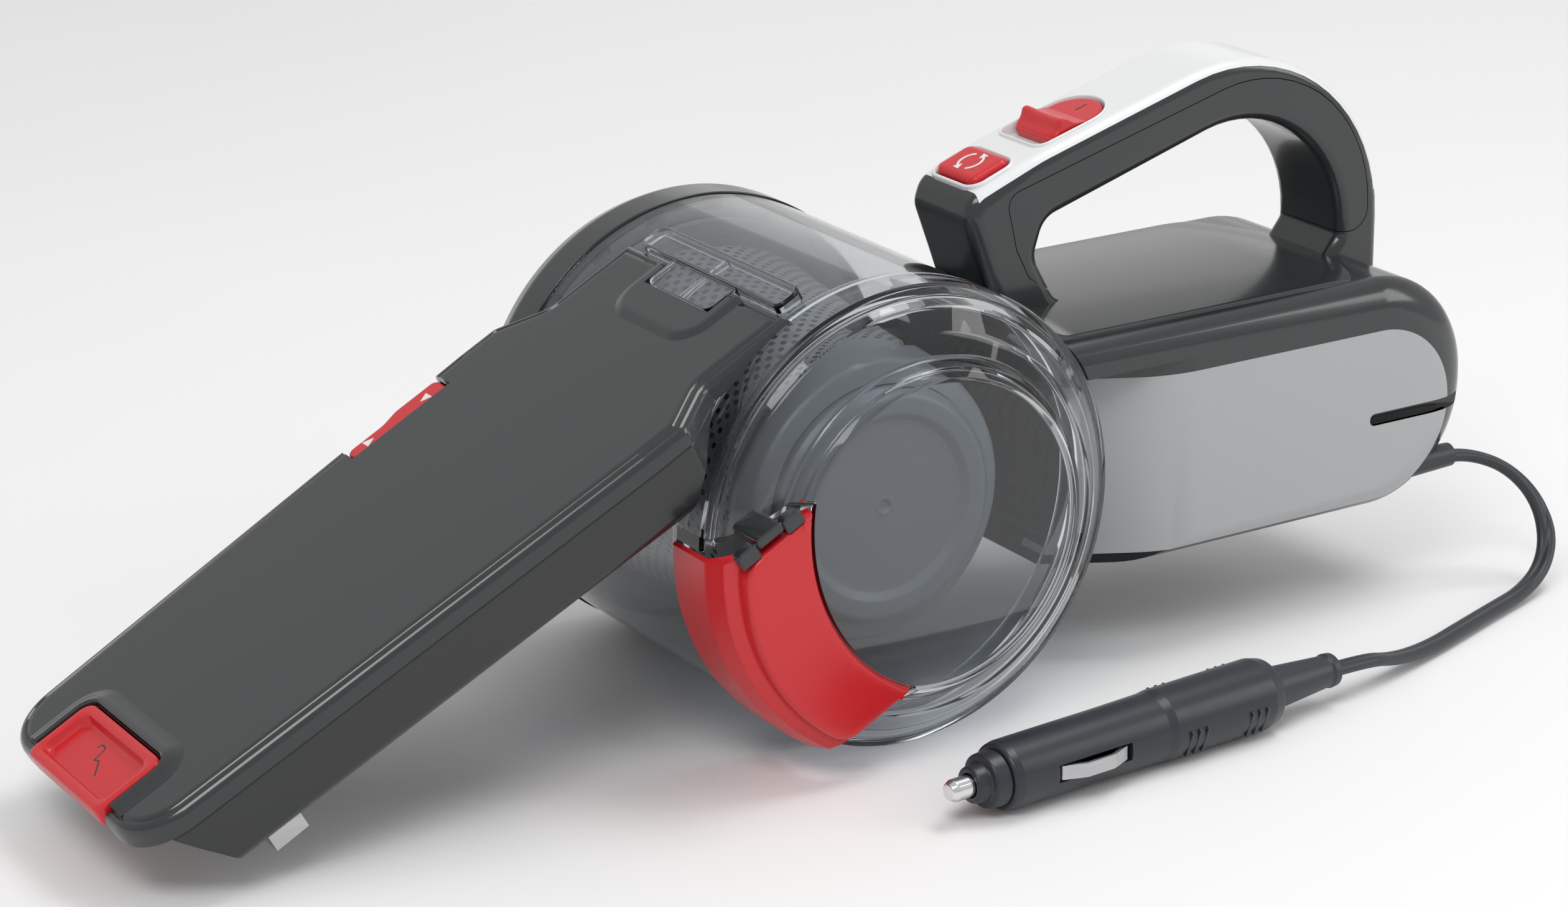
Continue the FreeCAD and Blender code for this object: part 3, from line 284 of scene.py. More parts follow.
def inset(loop, distance, weights=None):
    """The loop with every point moved in by distance times its weight (out where it is negative)."""
    sign = 1 if area_of(loop) > 0 else -1
    moved = []
    count = len(loop)
    for index, here in enumerate(loop):
        before = (here - loop[index - 1]).normalized()
        after = (loop[(index + 1) % count] - here).normalized()
        first = Vector((-before.y, before.x))
        second = Vector((-after.y, after.x))
        mean = (first + second).normalized()
        share = weights[index] if weights else 1.0
        moved.append(here + mean * (sign * distance * share / max(0.4, mean.dot(second))))
    return moved


def placed(u, v, level, plane):
    return (u, level, v) if plane == "XZ" else (u, v, level)


def new_mesh(name, bm, matrix):
    bmesh.ops.recalc_face_normals(bm, faces=bm.faces)
    mesh = bpy.data.meshes.new(name)
    bm.to_mesh(mesh)
    bm.free()
    mesh.transform(matrix)
    if matrix.determinant() < 0:
        mesh.flip_normals()
    piece = bpy.data.objects.new(name, mesh)
    bpy.context.scene.collection.objects.link(piece)
    return piece


def joined(bm, rings, capped=True):
    """Faces from each ring of points to the next, then caps on both ends, or from last to first."""
    for lower, upper in zip(rings, rings[1:] + ([] if capped else rings[:1])):
        for index in range(len(lower)):
            following = (index + 1) % len(lower)
            bm.faces.new((lower[index], lower[following], upper[following], upper[index]))
    if capped:
        bm.faces.new(list(reversed(rings[0])))
        bm.faces.new(rings[-1])


def stack(name, sections, plane, matrix):
    """A closed form through sections (level, loop), all loops with the same number of points."""
    bm = bmesh.new()
    joined(bm, [[bm.verts.new(placed(p.x, p.y, level, plane)) for p in loop] for level, loop in sections])
    return new_mesh(name, bm, matrix)


def rimmed(name, loop, rim, plane, matrix):
    """A closed form through one loop, moved in at each level as rim's (level, inset) says."""
    return stack(name, [(level, inset(loop, by)) for level, by in rim], plane, matrix)


def prism(name, loop, low, high, plane, matrix, edge=0.0, steps=3):
    """A loop carried from low to high, with both rims rounded by edge."""
    sections = []
    for level, way in ((low, 1), (high, -1)):
        rim = [(level, loop)]
        if edge:
            rim = [(level + way * edge * (1 - math.sin(a)), inset(loop, edge * (1 - math.cos(a))))
                   for a in (math.pi / 2 * (steps - k) / steps for k in range(steps + 1))]
        sections += rim if way == 1 else list(reversed(rim))
    return stack(name, sections, plane, matrix)


def slab(name, loop, half, edge, matrix, weights=None, steps=6):
    """A side outline as wide as 2 * half, its long edges rounded by edge times each point's weight."""
    rims = []
    for step in range(steps + 1):
        angle = math.pi / 2 * step / steps
        rims.append((half - edge * (1 - math.sin(angle)), inset(loop, edge * (1 - math.cos(angle)), weights)))
    near = [(-level, ring) for level, ring in reversed(rims)]
    return stack(name, near + rims, "XZ", matrix)


def lathe(name, outline, matrix, segments=144, along="Y"):
    """A closed outline of (radius, distance) turned round the Y (or X) axis."""
    bm = bmesh.new()
    rings = []
    for radius, distance in ((p.x, p.y) for p in outline):
        count = segments if radius > 1e-6 else 1
        ring = []
        for step in range(count):
            angle = 2 * math.pi * step / segments
            if along == "Y":
                spot = (radius * math.cos(angle), distance, radius * math.sin(angle))
            else:
                spot = (distance, radius * math.cos(angle), radius * math.sin(angle))
            ring.append(bm.verts.new(spot))
        rings.append(ring)
    for lower, upper in zip(rings, rings[1:] + rings[:1]):
        if len(lower) == 1 and len(upper) == 1:
            continue
        for step in range(segments):
            following = (step + 1) % segments
            corners = []
            for ring, at in ((lower, step), (lower, following), (upper, following), (upper, step)):
                vert = ring[at % len(ring)]
                if vert not in corners:
                    corners.append(vert)
            bm.faces.new(corners)
    return new_mesh(name, bm, matrix)


def sweep(name, path, profile, plane, matrix):
    """A closed profile of (across, height) carried along an open path of (point, level)."""
    bm = bmesh.new()
    rings = []
    count = len(path)
    for index, (here, level) in enumerate(path):
        before = path[index - 1][0] if index else here
        after = path[index + 1][0] if index < count - 1 else here
        heading = (after - before).normalized()
        across = Vector((-heading.y, heading.x))
        ring = []
        for offset, height in profile:
            spot = here + across * offset
            ring.append(bm.verts.new(placed(spot.x, spot.y, level + height, plane)))
        rings.append(ring)
    joined(bm, rings)
    return new_mesh(name, bm, matrix)


def bead(half, below, above):
    """The section of a thin raised line, for sweep."""
    return [(-half, -below), (half, -below), (half, above), (-half, above)]


def cutter(loop, low, high, plane, matrix):
    """A loop carried from low to high, for use as a tool."""
    return stack("tool", [(low, loop), (high, loop)], plane, matrix)


def block(low, high, matrix):
    loop = [Vector(p) for p in ((low[0], low[1]), (high[0], low[1]), (high[0], high[1]), (low[0], high[1]))]
    return cutter(loop, low[2], high[2], "XY", matrix)


def through(loop, low, high):
    """A side outline carried across the body from low to high, as a tool."""
    return cutter(loop, low, high, "XZ", DRUM)


def rod(radius, low, high, centre, matrix, plane="XZ", segments=144):
    loop = [Vector((centre[0] + radius * math.cos(2 * math.pi * k / segments),
                    centre[1] + radius * math.sin(2 * math.pi * k / segments))) for k in range(segments)]
    return cutter(loop, low, high, plane, matrix)


def applied(piece):
    """The piece with its modifiers applied."""
    graph = bpy.context.evaluated_depsgraph_get()
    mesh = bpy.data.meshes.new_from_object(piece.evaluated_get(graph))
    piece.modifiers.clear()
    piece.data = mesh
    return piece


def carved(piece, tools, operation="DIFFERENCE"):
    """The piece with every tool taken from it (or joined, or shared), tools thrown away."""
    for tool in tools:
        cut = piece.modifiers.new("cut", "BOOLEAN")
        cut.operation = operation
        cut.solver = "EXACT"
        cut.object = tool
        bpy.context.view_layer.update()
        applied(piece)
        bpy.data.objects.remove(tool)
    return piece


def tidied(piece):
    """Doubled points merged and flat areas joined, so that edges can be rounded evenly."""
    bm = bmesh.new()
    bm.from_mesh(piece.data)
    bmesh.ops.remove_doubles(bm, verts=bm.verts, dist=0.02 * MM)
    bmesh.ops.dissolve_limit(bm, angle_limit=math.radians(0.6), verts=bm.verts, edges=bm.edges)
    bm.to_mesh(piece.data)
    bm.free()
    return piece


def softened(piece, width, segments=3, angle=35):
    """Sharp edges rounded by width, in millimetres."""
    bevel = piece.modifiers.new("edges", "BEVEL")
    bevel.width = width * MM
    bevel.segments = segments
    bevel.limit_method = "ANGLE"
    bevel.angle_limit = math.radians(angle)
    bevel.use_clamp_overlap = True
    bevel.miter_outer = "MITER_ARC"
    return applied(piece)


def shaded(piece, angle=32):
    """Smooth shading that breaks at edges sharper than angle, weighted to the large faces."""
    bm = bmesh.new()
    bm.from_mesh(piece.data)
    for face in bm.faces:
        face.smooth = True
    for edge in bm.edges:
        sharp = len(edge.link_faces) == 2 and edge.calc_face_angle(0) > math.radians(angle)
        edge.smooth = not sharp
    bm.to_mesh(piece.data)
    bm.free()
    weights = piece.modifiers.new("weights", "WEIGHTED_NORMAL")
    weights.keep_sharp = True
    weights.weight = 60
    return piece


def dress(piece, body, slot, nodes=(), look=None, angle=32):
    """Finishes a piece: shading, material, body, and the CAD nodes that it stands for."""
    shaded(piece, angle)
    piece.data.materials.clear()
    piece.data.materials.append(MATERIALS[look or slot])
    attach(piece, body)
    if nodes:
        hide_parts(*nodes)
    return piece


def refined(node, body, slot, edge):
    """A copy of a CAD node's shape with its sharp edges rounded, in place of the node."""
    piece = bpy.data.objects.new(node + "_piece", NODES[node].data.copy())
    bpy.context.scene.collection.objects.link(piece)
    softened(tidied(piece), edge, 2)
    return dress(piece, body, slot, [node])


# ---- nozzle ----

TIP = 234.0     # from the drum's axis to the nozzle's tip
TOP = 72.3      # from the drum's axis to the nozzle's top face
SEAM = 65.2     # and to the joint between its two halves


def nozzle_loop():
    """The nozzle from above: round tip, wide shoulders and a neck over the drum."""
    side = [(-TIP, -48.2, 17), (-60, -56, 30), (-46, -56, 6), (-31, -45.5, 9), (1, -45.5)]
    return rounded(side + [(c[0], -c[1]) + c[2:] for c in reversed(side)], 12)


def latch_loop(gap):
    """The opening that the tip latch takes, open at the front."""
    return framed(-TIP - 20, -TIP + 22.5 + gap, 25.5 + gap, 0, 5 + gap, 8)


def make_nozzle_cover():
    """The nozzle's top half, with a groove near its edge and room for the latch and buttons."""
    loop = nozzle_loop()
    rim = [(70.1, 2.0), (SEAM, 2.0), (SEAM, 0.35), (SEAM + 0.35, 0.0), (69.0, 0.0), (70.4, 0.35), (71.4, 1.1),
           (71.9, 2.0), (71.95, 2.7), (71.6, 3.0), (71.6, 3.5), (72.0, 3.8), (72.35, 4.5), (TOP, 5.6)]
    cover = rimmed("nozzle_top_cover", loop, rim, "XY", ARM)
    latch = cutter(latch_loop(0.4), 66.7, 84, "XY", ARM)
    release = block((-106.5, 44.5, 60), (-69.5, 70, 90), ARM)
    tongue = block((-10.3, -18.3, 60), (5, 18.3, 80), ARM)
    lip = block((-TIP - 5, -27, 63), (-222, 27, 68.4), ARM)
    carved(cover, [latch, release, tongue, lip, rod(70.1, -70, 70, (0, 0), ARM)])
    softened(cover, 0.35, 2, 50)
    dress(cover, "drum", "charcoal", ["nozzle_cover"])


def make_latch_surround():
    """The raised gloss lip round three sides of the tip latch."""
    front, rear, half = -TIP + 3.5, -TIP + 25.4, 28.2
    path = rounded([(front, -half), (rear, -half, 7.5), (rear, half, 7.5), (front, half)], 10, closed=False)
    profile = [(-2.2, -1.2), (2.4, -1.2), (2.4, 0.8), (2.1, 1.5), (1.5, 1.9), (0.6, 1.75), (-0.8, 1.2),
               (-2.4, 0.45), (-4.2, 0.05), (-4.2, -1.2)]
    lip = sweep("latch_surround", [(point, TOP) for point in path], profile, "XY", ARM)
    dress(lip, "drum", "charcoal")


def make_nozzle_plateau():
    """The U-shaped raised step on the neck, round the clear connector's tongue."""
    loop = framed(-21.5, -1, 21.5, 9, 1, 10)
    rim = [(-1, -2.6), (0, -2.4), (0.2, -1.7), (0.95, -0.3), (1.15, 0.6), (1.2, 1.6)]
    step = rimmed("neck_step", loop, [(TOP + up, by) for up, by in rim], "XY", ARM)
    carved(step, [block((-10.2, -18.2, 60), (9, 18.2, 90), ARM), block((-1, -40, 60), (9, 40, 90), ARM)])
    dress(softened(step, 0.25, 2, 50), "drum", "charcoal")


def mouth_tool(x):
    """A slanted block that opens the nozzle's mouth at x, leaning forward as the real one does."""
    lean = math.atan2(14, 20)
    plane = ARM @ Matrix.Translation((-TIP + x - 30 * math.sin(lean), 0, 67 + 30 * math.cos(lean)))
    return block((0, -70, 0), (60, 70, 90), plane @ Matrix.Rotation(math.pi - lean, 4, "Y"))


def make_nozzle_duct():
    """The nozzle's lower half, and the air channel inside it."""
    loop = nozzle_loop()
    rim = [(46.5, 4.3), (46.75, 2.9), (47.5, 1.6), (48.7, 0.7), (50.2, 0.35), (64.6, 0.3), (65.1, 0.6)]
    duct = rimmed("nozzle_lower_duct", loop, rim, "XY", ARM)
    pocket = rimmed("tool", loop, [(49.5, 2.6), (90, 2.6)], "XY", ARM)
    carved(duct, [pocket, block((-240, -41, 48.5), (-10, 41, 90), ARM), mouth_tool(8),
                  block((-106.5, 44.5, 61.6), (-69.5, 70, 90), ARM), rod(72.2, -80, 80, (0, 0), ARM)])
    softened(duct, 0.8, 3, 40)
    dress(duct, "drum", "charcoal", ["nozzle_duct"], look="dark")
    tube = block((-228, -43, 46.9), (-30, 43, 69.9), ARM)
    tube.name = "nozzle_air_channel"
    latch = cutter(latch_loop(0.6), 66.7, 84, "XY", ARM)
    carved(tube, [block((-240, -41, 48.5), (-10, 41, 67.8), ARM), mouth_tool(9), latch,
                  rod(69.6, -80, 80, (0, 0), ARM)])
    dress(softened(tube, 0.3, 2, 40), "drum", "charcoal", look="dark")


def tray_loop(by):
    """The tip latch's outline moved in by so much, with corners that stay round."""
    return framed(-TIP - 0.6 + by, -TIP + 22.3 - by, 25.2 - by, 3, 4, 8)


def make_tip_latch():
    """The red latch: a shallow thumb tray with a raised rim and a front lip."""
    rim = [(67.7, 0.5), (68.2, 0.0), (72.9, 0.0), (73.5, 0.3), (73.85, 0.9), (73.95, 1.6), (73.9, 2.6),
           (73.5, 3.3), (72.0, 3.8), (71.3, 4.3), (71.0, 5.2)]
    latch = stack("tip_latch_piece", [(level, tray_loop(by)) for level, by in rim], "XY", ARM)
    dress(latch, "tip_latch", "red", ["tip_latch"])
    mark = rounded([(-TIP + 7.5, -4.5), (-TIP + 11.5, 0.5, 0.6), (-TIP + 10.6, 2.4, 0.4),
                    (-TIP + 15.2, 3.2, 1.0), (-TIP + 15.6, 6.2, 0.8), (-TIP + 13.8, 6.6)], 4, closed=False)
    line = sweep("tip_latch_mark", [(point, 70.95) for point in mark], bead(0.28, 0.3, 0.08), "XY", ARM)
    dress(line, "tip_latch", "red", look="dark")


def make_release_button():
    """The nozzle's release button on its far edge, with two plain arrows."""
    loop = rounded([(-105.8, 45.0, 2.5), (-70.2, 45.0, 2.5), (-70.2, 53.6, 2.5), (-86, 53.6, 6),
                    (-92, 51.6, 6), (-105.8, 51.6, 2.5)], 6)
    button = prism("release_button", loop, 63.8, 71.2, "XY", ARM, edge=1.0)
    dress(button, "nozzle_release", "red", ["nozzle_release"])
    for number, (x, turn) in enumerate(((-99, 1), (-77, -1))):
        tail = x - turn * 1.2
        head = [Vector((x + turn * 2.2, 48.4)), Vector((tail, 50.4)), Vector((tail, 46.4))]
        if area_of(head) < 0:
            head.reverse()
        mark = stack("release_arrow_%d" % number, [(71.0, head), (71.26, head)], "XY", ARM)
        dress(mark, "nozzle_release", "white")


def make_connector():
    """The clear T-shaped piece that holds the neck to the drum, with its ribs."""
    across = prism("connector_bar", framed(1.3, 11, 39.5, 3, 4.5, 8), 60, TOP + 0.9, "XY", ARM, edge=0.8)
    carved(across, [rod(69.9, -60, 60, (0, 0), ARM), block((3, -37, 50), (9, -1, 71.0), ARM),
                    block((3, 1, 50), (9, 37, 71.0), ARM)])
    dress(softened(across, 0.25, 2, 45), "drum", "clear", ["duct_connector"])
    tongue = framed(-9.9, 1.1, 17.8, 3, 0, 6)
    tab = prism("connector_tongue", tongue, 70.2, TOP + 1.3, "XY", ARM, edge=0.4)
    dress(tab, "drum", "clear")
    for number, y in enumerate((-17, -1.0, 1.0, 17)):
        rib = block((-8.5, y - 0.5, 68.2), (0.5, y + 0.5, 70.15), ARM)
        rib.name = "connector_rib_%d" % number
        carved(rib, [rod(69.8, -60, 60, (0, 0), ARM)])
        dress(rib, "drum", "clear")


# ---- drum, cover and filter ----


DOOR_ARC = (18.6, 60.0)     # centre and radius of the dump door's inner edge
DOOR_HALF = 36.0
HINGE = (-73.6, 37.6)       # the door's hinge pin: Y and Z in the arm frame
HINGE_SPAN = (-60, -30)


def make_drum():
    """The clear dust drum, open at its near end and over the nozzle's neck."""
    outline = rounded([(69.5, -42.5), (69.5, 61.0, 0.8), (59.3, 61.0), (59.3, 58.5), (67.5, 58.5, 1.5),
                       (67.5, -42.5)], 4)
    drum = lathe("dust_drum_piece", outline, DRUM, SMOOTH)
    port = block((-64, -41, 48.5), (-18, 41, 67.8), ARM)
    carved(drum, [port])
    dress(drum, "drum", "clear", ["dust_drum"])


def door_zone(gap, y_far=-42.7):
    """The part of the cover that the dump door takes, as a cutting tool."""
    half = DOOR_HALF + gap
    centre, radius = DOOR_ARC[0], DOOR_ARC[1] - gap
    first = math.asin(half / radius)
    points = [Vector((-90, -half))]
    for step in range(41):
        angle = math.pi + first - 2 * first * step / 40
        points.append(Vector((centre + radius * math.cos(angle), radius * math.sin(angle))))
    points.append(Vector((-90, half)))
    return cutter(points, -95, y_far, "XZ", ARM)


def make_cover():
    """The clear cover: rim, grooved shoulder and raised round face."""
    outline = rounded([(0, -74.9), (30, -74.75), (46.6, -74.3, 1.5), (49.6, -72.0, 1.2), (51.2, -67.6, 2.0),
                       (57.5, -65.6, 6.0), (64.6, -60.6, 3.0), (66.6, -58.4, 1.0), (67.4, -58.6, 0.5),
                       (69.4, -57.6, 0.9), (70, -55.6, 0.8), (70, -43.0, 0.6), (67.2, -43.0),
                       (67.2, -38.0, 0.5), (65.4, -38.0, 0.5), (65.4, -53.5, 1.5), (62.6, -58.6, 3.0),
                       (56.2, -63.4, 6.0), (49.0, -65.4, 2.0), (47.4, -70.4, 1.5), (45.6, -72.0, 1.5),
                       (30, -72.3), (0, -72.4)], 5)
    cover = lathe("clear_cover_piece", outline, DRUM, SMOOTH)
    carved(cover, [door_zone(0.35)])
    softened(cover, 0.3, 2, 60)
    dress(cover, "cover", "clear", ["clear_cover"])
    hinge = rounded([(-50, 36.7, 0.8), (-41, 36.7, 0.8), (-41, 40.0, 1.2), (-50, 40.0, 1.2)], 4)
    rim = [(-75.6, 0.5), (-75.2, 0), (-62.0, 0)]
    knuckle = rimmed("cover_hinge_block", hinge, rim, "XZ", ARM)
    carved(knuckle, [rod_x(1.05, *HINGE_SPAN, HINGE)])
    dress(knuckle, "cover", "charcoal")


def rod_x(radius, low, high, centre):
    """A bar along the arm frame's X, as a tool."""
    turned = ARM @ Matrix.Translation((0, centre[0], centre[1])) @ Matrix.Rotation(math.pi / 2, 4, "Y")
    return rod(radius, low, high, (0, 0), turned, plane="XY", segments=32)


def make_door():
    """The red dump door: raised pad, groove, shoulder and skirt round the drum."""
    outline = rounded([(30, -71.0), (66.0, -71.0), (67.2, -70.4, 0.8), (69.4, -68.6, 1.8),
                       (71.5, -61.5, 5.0), (71.5, -43.3, 0.8), (70.2, -43.3), (70.2, -61.0, 4.0),
                       (66.0, -67.5, 3), (30, -68.6)], 6)
    door = lathe("dump_door_piece", outline, DRUM, SMOOTH)
    carved(door, [door_zone(0.0, -40)], "INTERSECT")
    softened(door, 0.9, 3, 45)
    dress(door, "door", "red", ["dump_door"])
    pad = pad_loop(65.6, 34.6)
    rim = [(-69.6, 0), (-73.4, 0), (-74.5, 0.35), (-75.1, 0.95), (-75.3, 1.9), (-75.35, 3.4)]
    raised = rimmed("dump_door_pad", pad, rim, "XZ", ARM)
    dress(raised, "door", "red")
    for number, (start, end) in enumerate(((-57.2, -50.4), (-40.6, -34.3))):
        lug = rounded([(start, 34.2, 0.8), (end, 34.2, 0.8), (end, 39.4, 1.6), (start, 39.4, 1.6)], 4)
        rim = [(-75.4, 0.6), (-74.9, 0), (-72.0, 0), (-71.6, 0.5)]
        piece = rimmed("dump_door_lug_%d" % number, lug, rim, "XZ", ARM)
        carved(piece, [rod_x(1.1, *HINGE_SPAN, HINGE)])
        dress(piece, "door", "charcoal")


def pad_loop(outer, half):
    """The door's raised pad: between two arcs, with round outer corners."""
    inner_centre, inner_radius = DOOR_ARC[0], DOOR_ARC[1] + 0.4
    first = math.asin(half / inner_radius)
    points = arc_points(Vector((inner_centre, 0)), inner_radius, math.pi - first, math.pi + first, 32)
    corner = 9.0
    inner = outer - corner
    tilt = math.asin((half - corner) / inner)
    for way in (-1, 1):
        centre = Vector((-inner * math.cos(tilt), way * inner * math.sin(tilt)))
        start, end = (-math.pi / 2, -math.pi + tilt) if way < 0 else (-math.pi - tilt, -math.pi * 1.5)
        points += arc_points(centre, corner, start, end, 10)
        if way < 0:
            points += arc_points(Vector((0, 0)), outer, math.pi + tilt, math.pi - tilt, 24)[1:-1]
    return points


def make_filter():
    """The filter's end cap, the cup round it and the perforated screen behind."""
    outline = rounded([(0, -42.3), (1.2, -42.3, 0.5), (2.2, -43.5, 0.8), (3.6, -43.1, 0.6), (23.5, -43.1),
                       (26.2, -43.6, 1.2), (28.4, -45.4, 1.5), (33.6, -45.6, 2.5), (36.3, -42.5, 2.0),
                       (36.3, -35), (0, -35)], 5)
    dress(lathe("filter_cap_piece", outline, DRUM), "motor_body", "grey", ["filter_cap"])
    outline = rounded([(36.6, -40.5), (42.4, -38.5, 3.0), (44.5, -31, 3.0), (45.3, -22), (44.3, -22),
                       (43.4, -31, 3.0), (41.6, -37.3, 3.0), (36.6, -39.0)], 6)
    dress(lathe("filter_cup", outline, DRUM), "motor_body", "grey")
    outline = rounded([(45.2, -22.2), (49.5, 16), (54, 54), (52.8, 54), (48.3, 16), (44.1, -22.2)])
    dress(lathe("prefilter_screen_piece", outline, DRUM), "motor_body", "mesh", ["prefilter_screen"])


def make_hub_cap():
    """The dark cap on the drum's far end, cut away for the air duct."""
    outline = rounded([(70, 61.6, 0.4), (70, 73.2, 5), (67.3, 80.0, 3.2), (62.5, 84.2, 2.4), (0, 84.9),
                       (0, 82.0), (60, 82.0, 2), (64.8, 79.4, 2), (67.6, 73.2), (67.6, 61.6)], 6)
    cap = lathe("hub_cap_piece", outline, DRUM, SMOOTH)
    carved(cap, [block((50, 65.1, -27), (72, 71.2, 17), DRUM), block((55, 60.6, 11.6), (75, 64.4, 18), DRUM)])
    dress(cap, "motor_body", "charcoal", ["hub_cap"])


# ---- lead and plug ----

# The lead's route, as in the CAD, in millimetres from the drum frame's origin.
CORD_ROUTE = [(203, -42, -26.5), (215.5, -42, -26.5), (227, -43.4, -28.6), (237, -47.6, -33.5),
              (243, -54.3, -42), (244, -60.5, -53), (238, -65.5, -62), (226, -69.8, -66.9),
              (209, -75.6, -67.0), (190, -82.6, -66.9), (171, -89.5, -67.0), (152, -95.6, -64.8),
              (134, -100.8, -59.0), (91.7, -104.3, -59.0)]


def make_cord():
    """The twin-core lead: two round cores side by side under one flat sleeve."""
    curve = bpy.data.curves.new("lead", "CURVE")
    curve.dimensions = "3D"
    spline = curve.splines.new("NURBS")
    spline.points.add(len(CORD_ROUTE) - 1)
    for point, place in zip(spline.points, CORD_ROUTE):
        point.co = (*(DRUM @ Vector(place)), 1)
    spline.order_u = 3
    spline.use_endpoint_u = True
    spline.resolution_u = 16
    curve.twist_mode = "Z_UP"
    section = bpy.data.curves.new("lead_section", "CURVE")
    section.dimensions = "2D"
    ring = section.splines.new("POLY")
    outline = []
    for centre, start in ((1.25, -125), (-1.25, 55)):
        for step in range(13):
            angle = math.radians(start + 250 * step / 12)
            outline.append((centre + 1.75 * math.cos(angle), 1.75 * math.sin(angle)))
    ring.points.add(len(outline) - 1)
    for point, (u, v) in zip(ring.points, outline):
        point.co = (u * MM, v * MM, 0, 1)
    ring.use_cyclic_u = True
    shape = bpy.data.objects.new("lead_section", section)
    curve.bevel_mode = "OBJECT"
    curve.bevel_object = shape
    curve.use_fill_caps = True
    lead = bpy.data.objects.new("lead", curve)
    bpy.context.scene.collection.objects.link(lead)
    curve.materials.append(MATERIALS["rubber"])
    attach(lead, "motor_body")
    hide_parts("cord")
    return lead


def turned_on_plug(name, outline, steps, segments, body, slot, nodes):
    """A round piece on the plug's axis, from its outline of (radius, distance)."""
    piece = lathe(name, rounded(outline, steps), PLUG, segments, "X")
    return dress(piece, body, slot, nodes)


def make_plug():
    """The 12 V plug: shell with ribs, collar, tip contact, strain relief and two side contacts."""
    outline = rounded([(0, 3), (7.6, 0.2), (9.6, 0, 1.2), (10.2, 3.0, 1.0), (10.3, 40), (10.5, 57, 1),
                       (10.9, 60, 1), (11.0, 98, 1.8), (10.0, 102.4, 1.6), (7.0, 103, 0.8), (0, 103)], 6)
    shell = lathe("plug_shell", outline, PLUG, 96, "X")
    carved(shell, [block((15.5, -14, -2.7), (42.5, 14, 2.7), PLUG)])
    softened(shell, 0.35, 2, 45)
    pieces = [dress(shell, "motor_body", "black", ["plug_body"])]
    for side, name in ((-1, "near"), (1, "far")):
        plane = PLUG @ Matrix.Rotation(math.radians(90 * side + 20), 4, "X")
        for number, x in enumerate((64.5, 67.5, 70.5, 88, 91, 94)):
            loop = framed(x - 0.55, x + 0.55, 4.6, 0.5, 0.5, 3)
            rib = prism("plug_rib_%s_%d" % (name, number), loop, 9.4, 11.1, "XY", plane, edge=0.3, steps=2)
            pieces.append(dress(rib, "motor_body", "black"))
    collar = [(3.7, -9.5), (5.3, -9.5, 0.8), (5.9, -5.4, 0.6), (8.0, -5.0, 0.8), (8.4, -0.2, 0.5),
              (7.4, 0.6), (3.7, 0.6)]
    pieces.append(turned_on_plug("plug_collar", collar, 4, 72, "motor_body", "black", ["plug_nose"]))
    tip = [(0, -17.0), (2.4, -17.0, 0.8), (3.3, -15.2, 1.0), (3.4, -2), (0, -2)]
    pieces.append(turned_on_plug("plug_contact_piece", tip, 5, 48, "plug_tip", "chrome", ["plug_contact"]))
    relief = [(3.6, 130), (5.1, 130, 0.6), (5.3, 127.5, 0.5), (4.9, 126.4, 0.5), (6.6, 104.5),
              (7.2, 102.5, 0.6), (3.6, 102.5)]
    pieces.append(turned_on_plug("plug_relief_piece", relief, 4, 64, "motor_body", "rubber", ["plug_relief"]))
    for side, name in ((-1, "near"), (1, "far")):
        bow = [(16.5, 6.9), (16.5, 9.6, 1.5), (24, 12.5, 5), (34, 12.5, 5), (41.5, 9.6, 1.5), (41.5, 6.9),
               (39.8, 6.9), (39.8, 8.8, 1.0), (33.6, 11.3, 4), (24.4, 11.3, 4), (18.2, 8.8, 1.0), (18.2, 6.9)]
        leaf = rounded([(c[0], side * c[1], *c[2:]) for c in bow], 5)
        contact = prism("plug_side_contact_" + name, leaf, -2.2, 2.2, "XY", PLUG, edge=0.25, steps=2)
        pieces.append(dress(contact, "plug_leaf_" + name, "steel", ["side_contact_" + name]))
    return pieces


# ---- body and handle ----


def make_controls():
    """The pivot button in its pale frame, and the power switch in its tray."""
    seat = button_loop(3.4, -2.2)
    bezel = ring_of("button_frame", seat, [(-3.0, 0.0), (0.1, 0.0), (0.6, 0.15), (0.9, 0.5), (0.85, 0.95),
                                           (0.4, 1.35), (-0.6, 1.6), (-3.0, 1.6)], NOSE)
    dress(bezel, "motor_body", "white", ["button_bezel"])
    cap = button_loop(3.0)
    rim = [(-4.0, 0.1), (0.6, 0.1), (1.4, 0.3), (1.9, 0.75), (2.15, 1.4), (2.25, 2.3)]
    button = rimmed("pivot_button_piece", cap, rim, "XY", NOSE)
    dress(button, "pivot_button", "red", ["pivot_button"])
    make_pivot_mark()
    tray = switch_tray()
    well = ring_of("switch_frame", tray, [(-3.6, 0.0), (0.15, 0.0), (0.6, 0.12), (0.8, 0.4), (0.65, 0.75),
                                          (0.1, 1.0), (-1.2, 1.05), (-3.6, 1.05)], BAR)
    dress(well, "motor_body", "white")
    floor = rimmed("switch_tray_floor", tray, [(-3.6, 0.8), (-2.9, 0.8)], "XY", BAR)
    dress(floor, "motor_body", "white")
    make_switch()


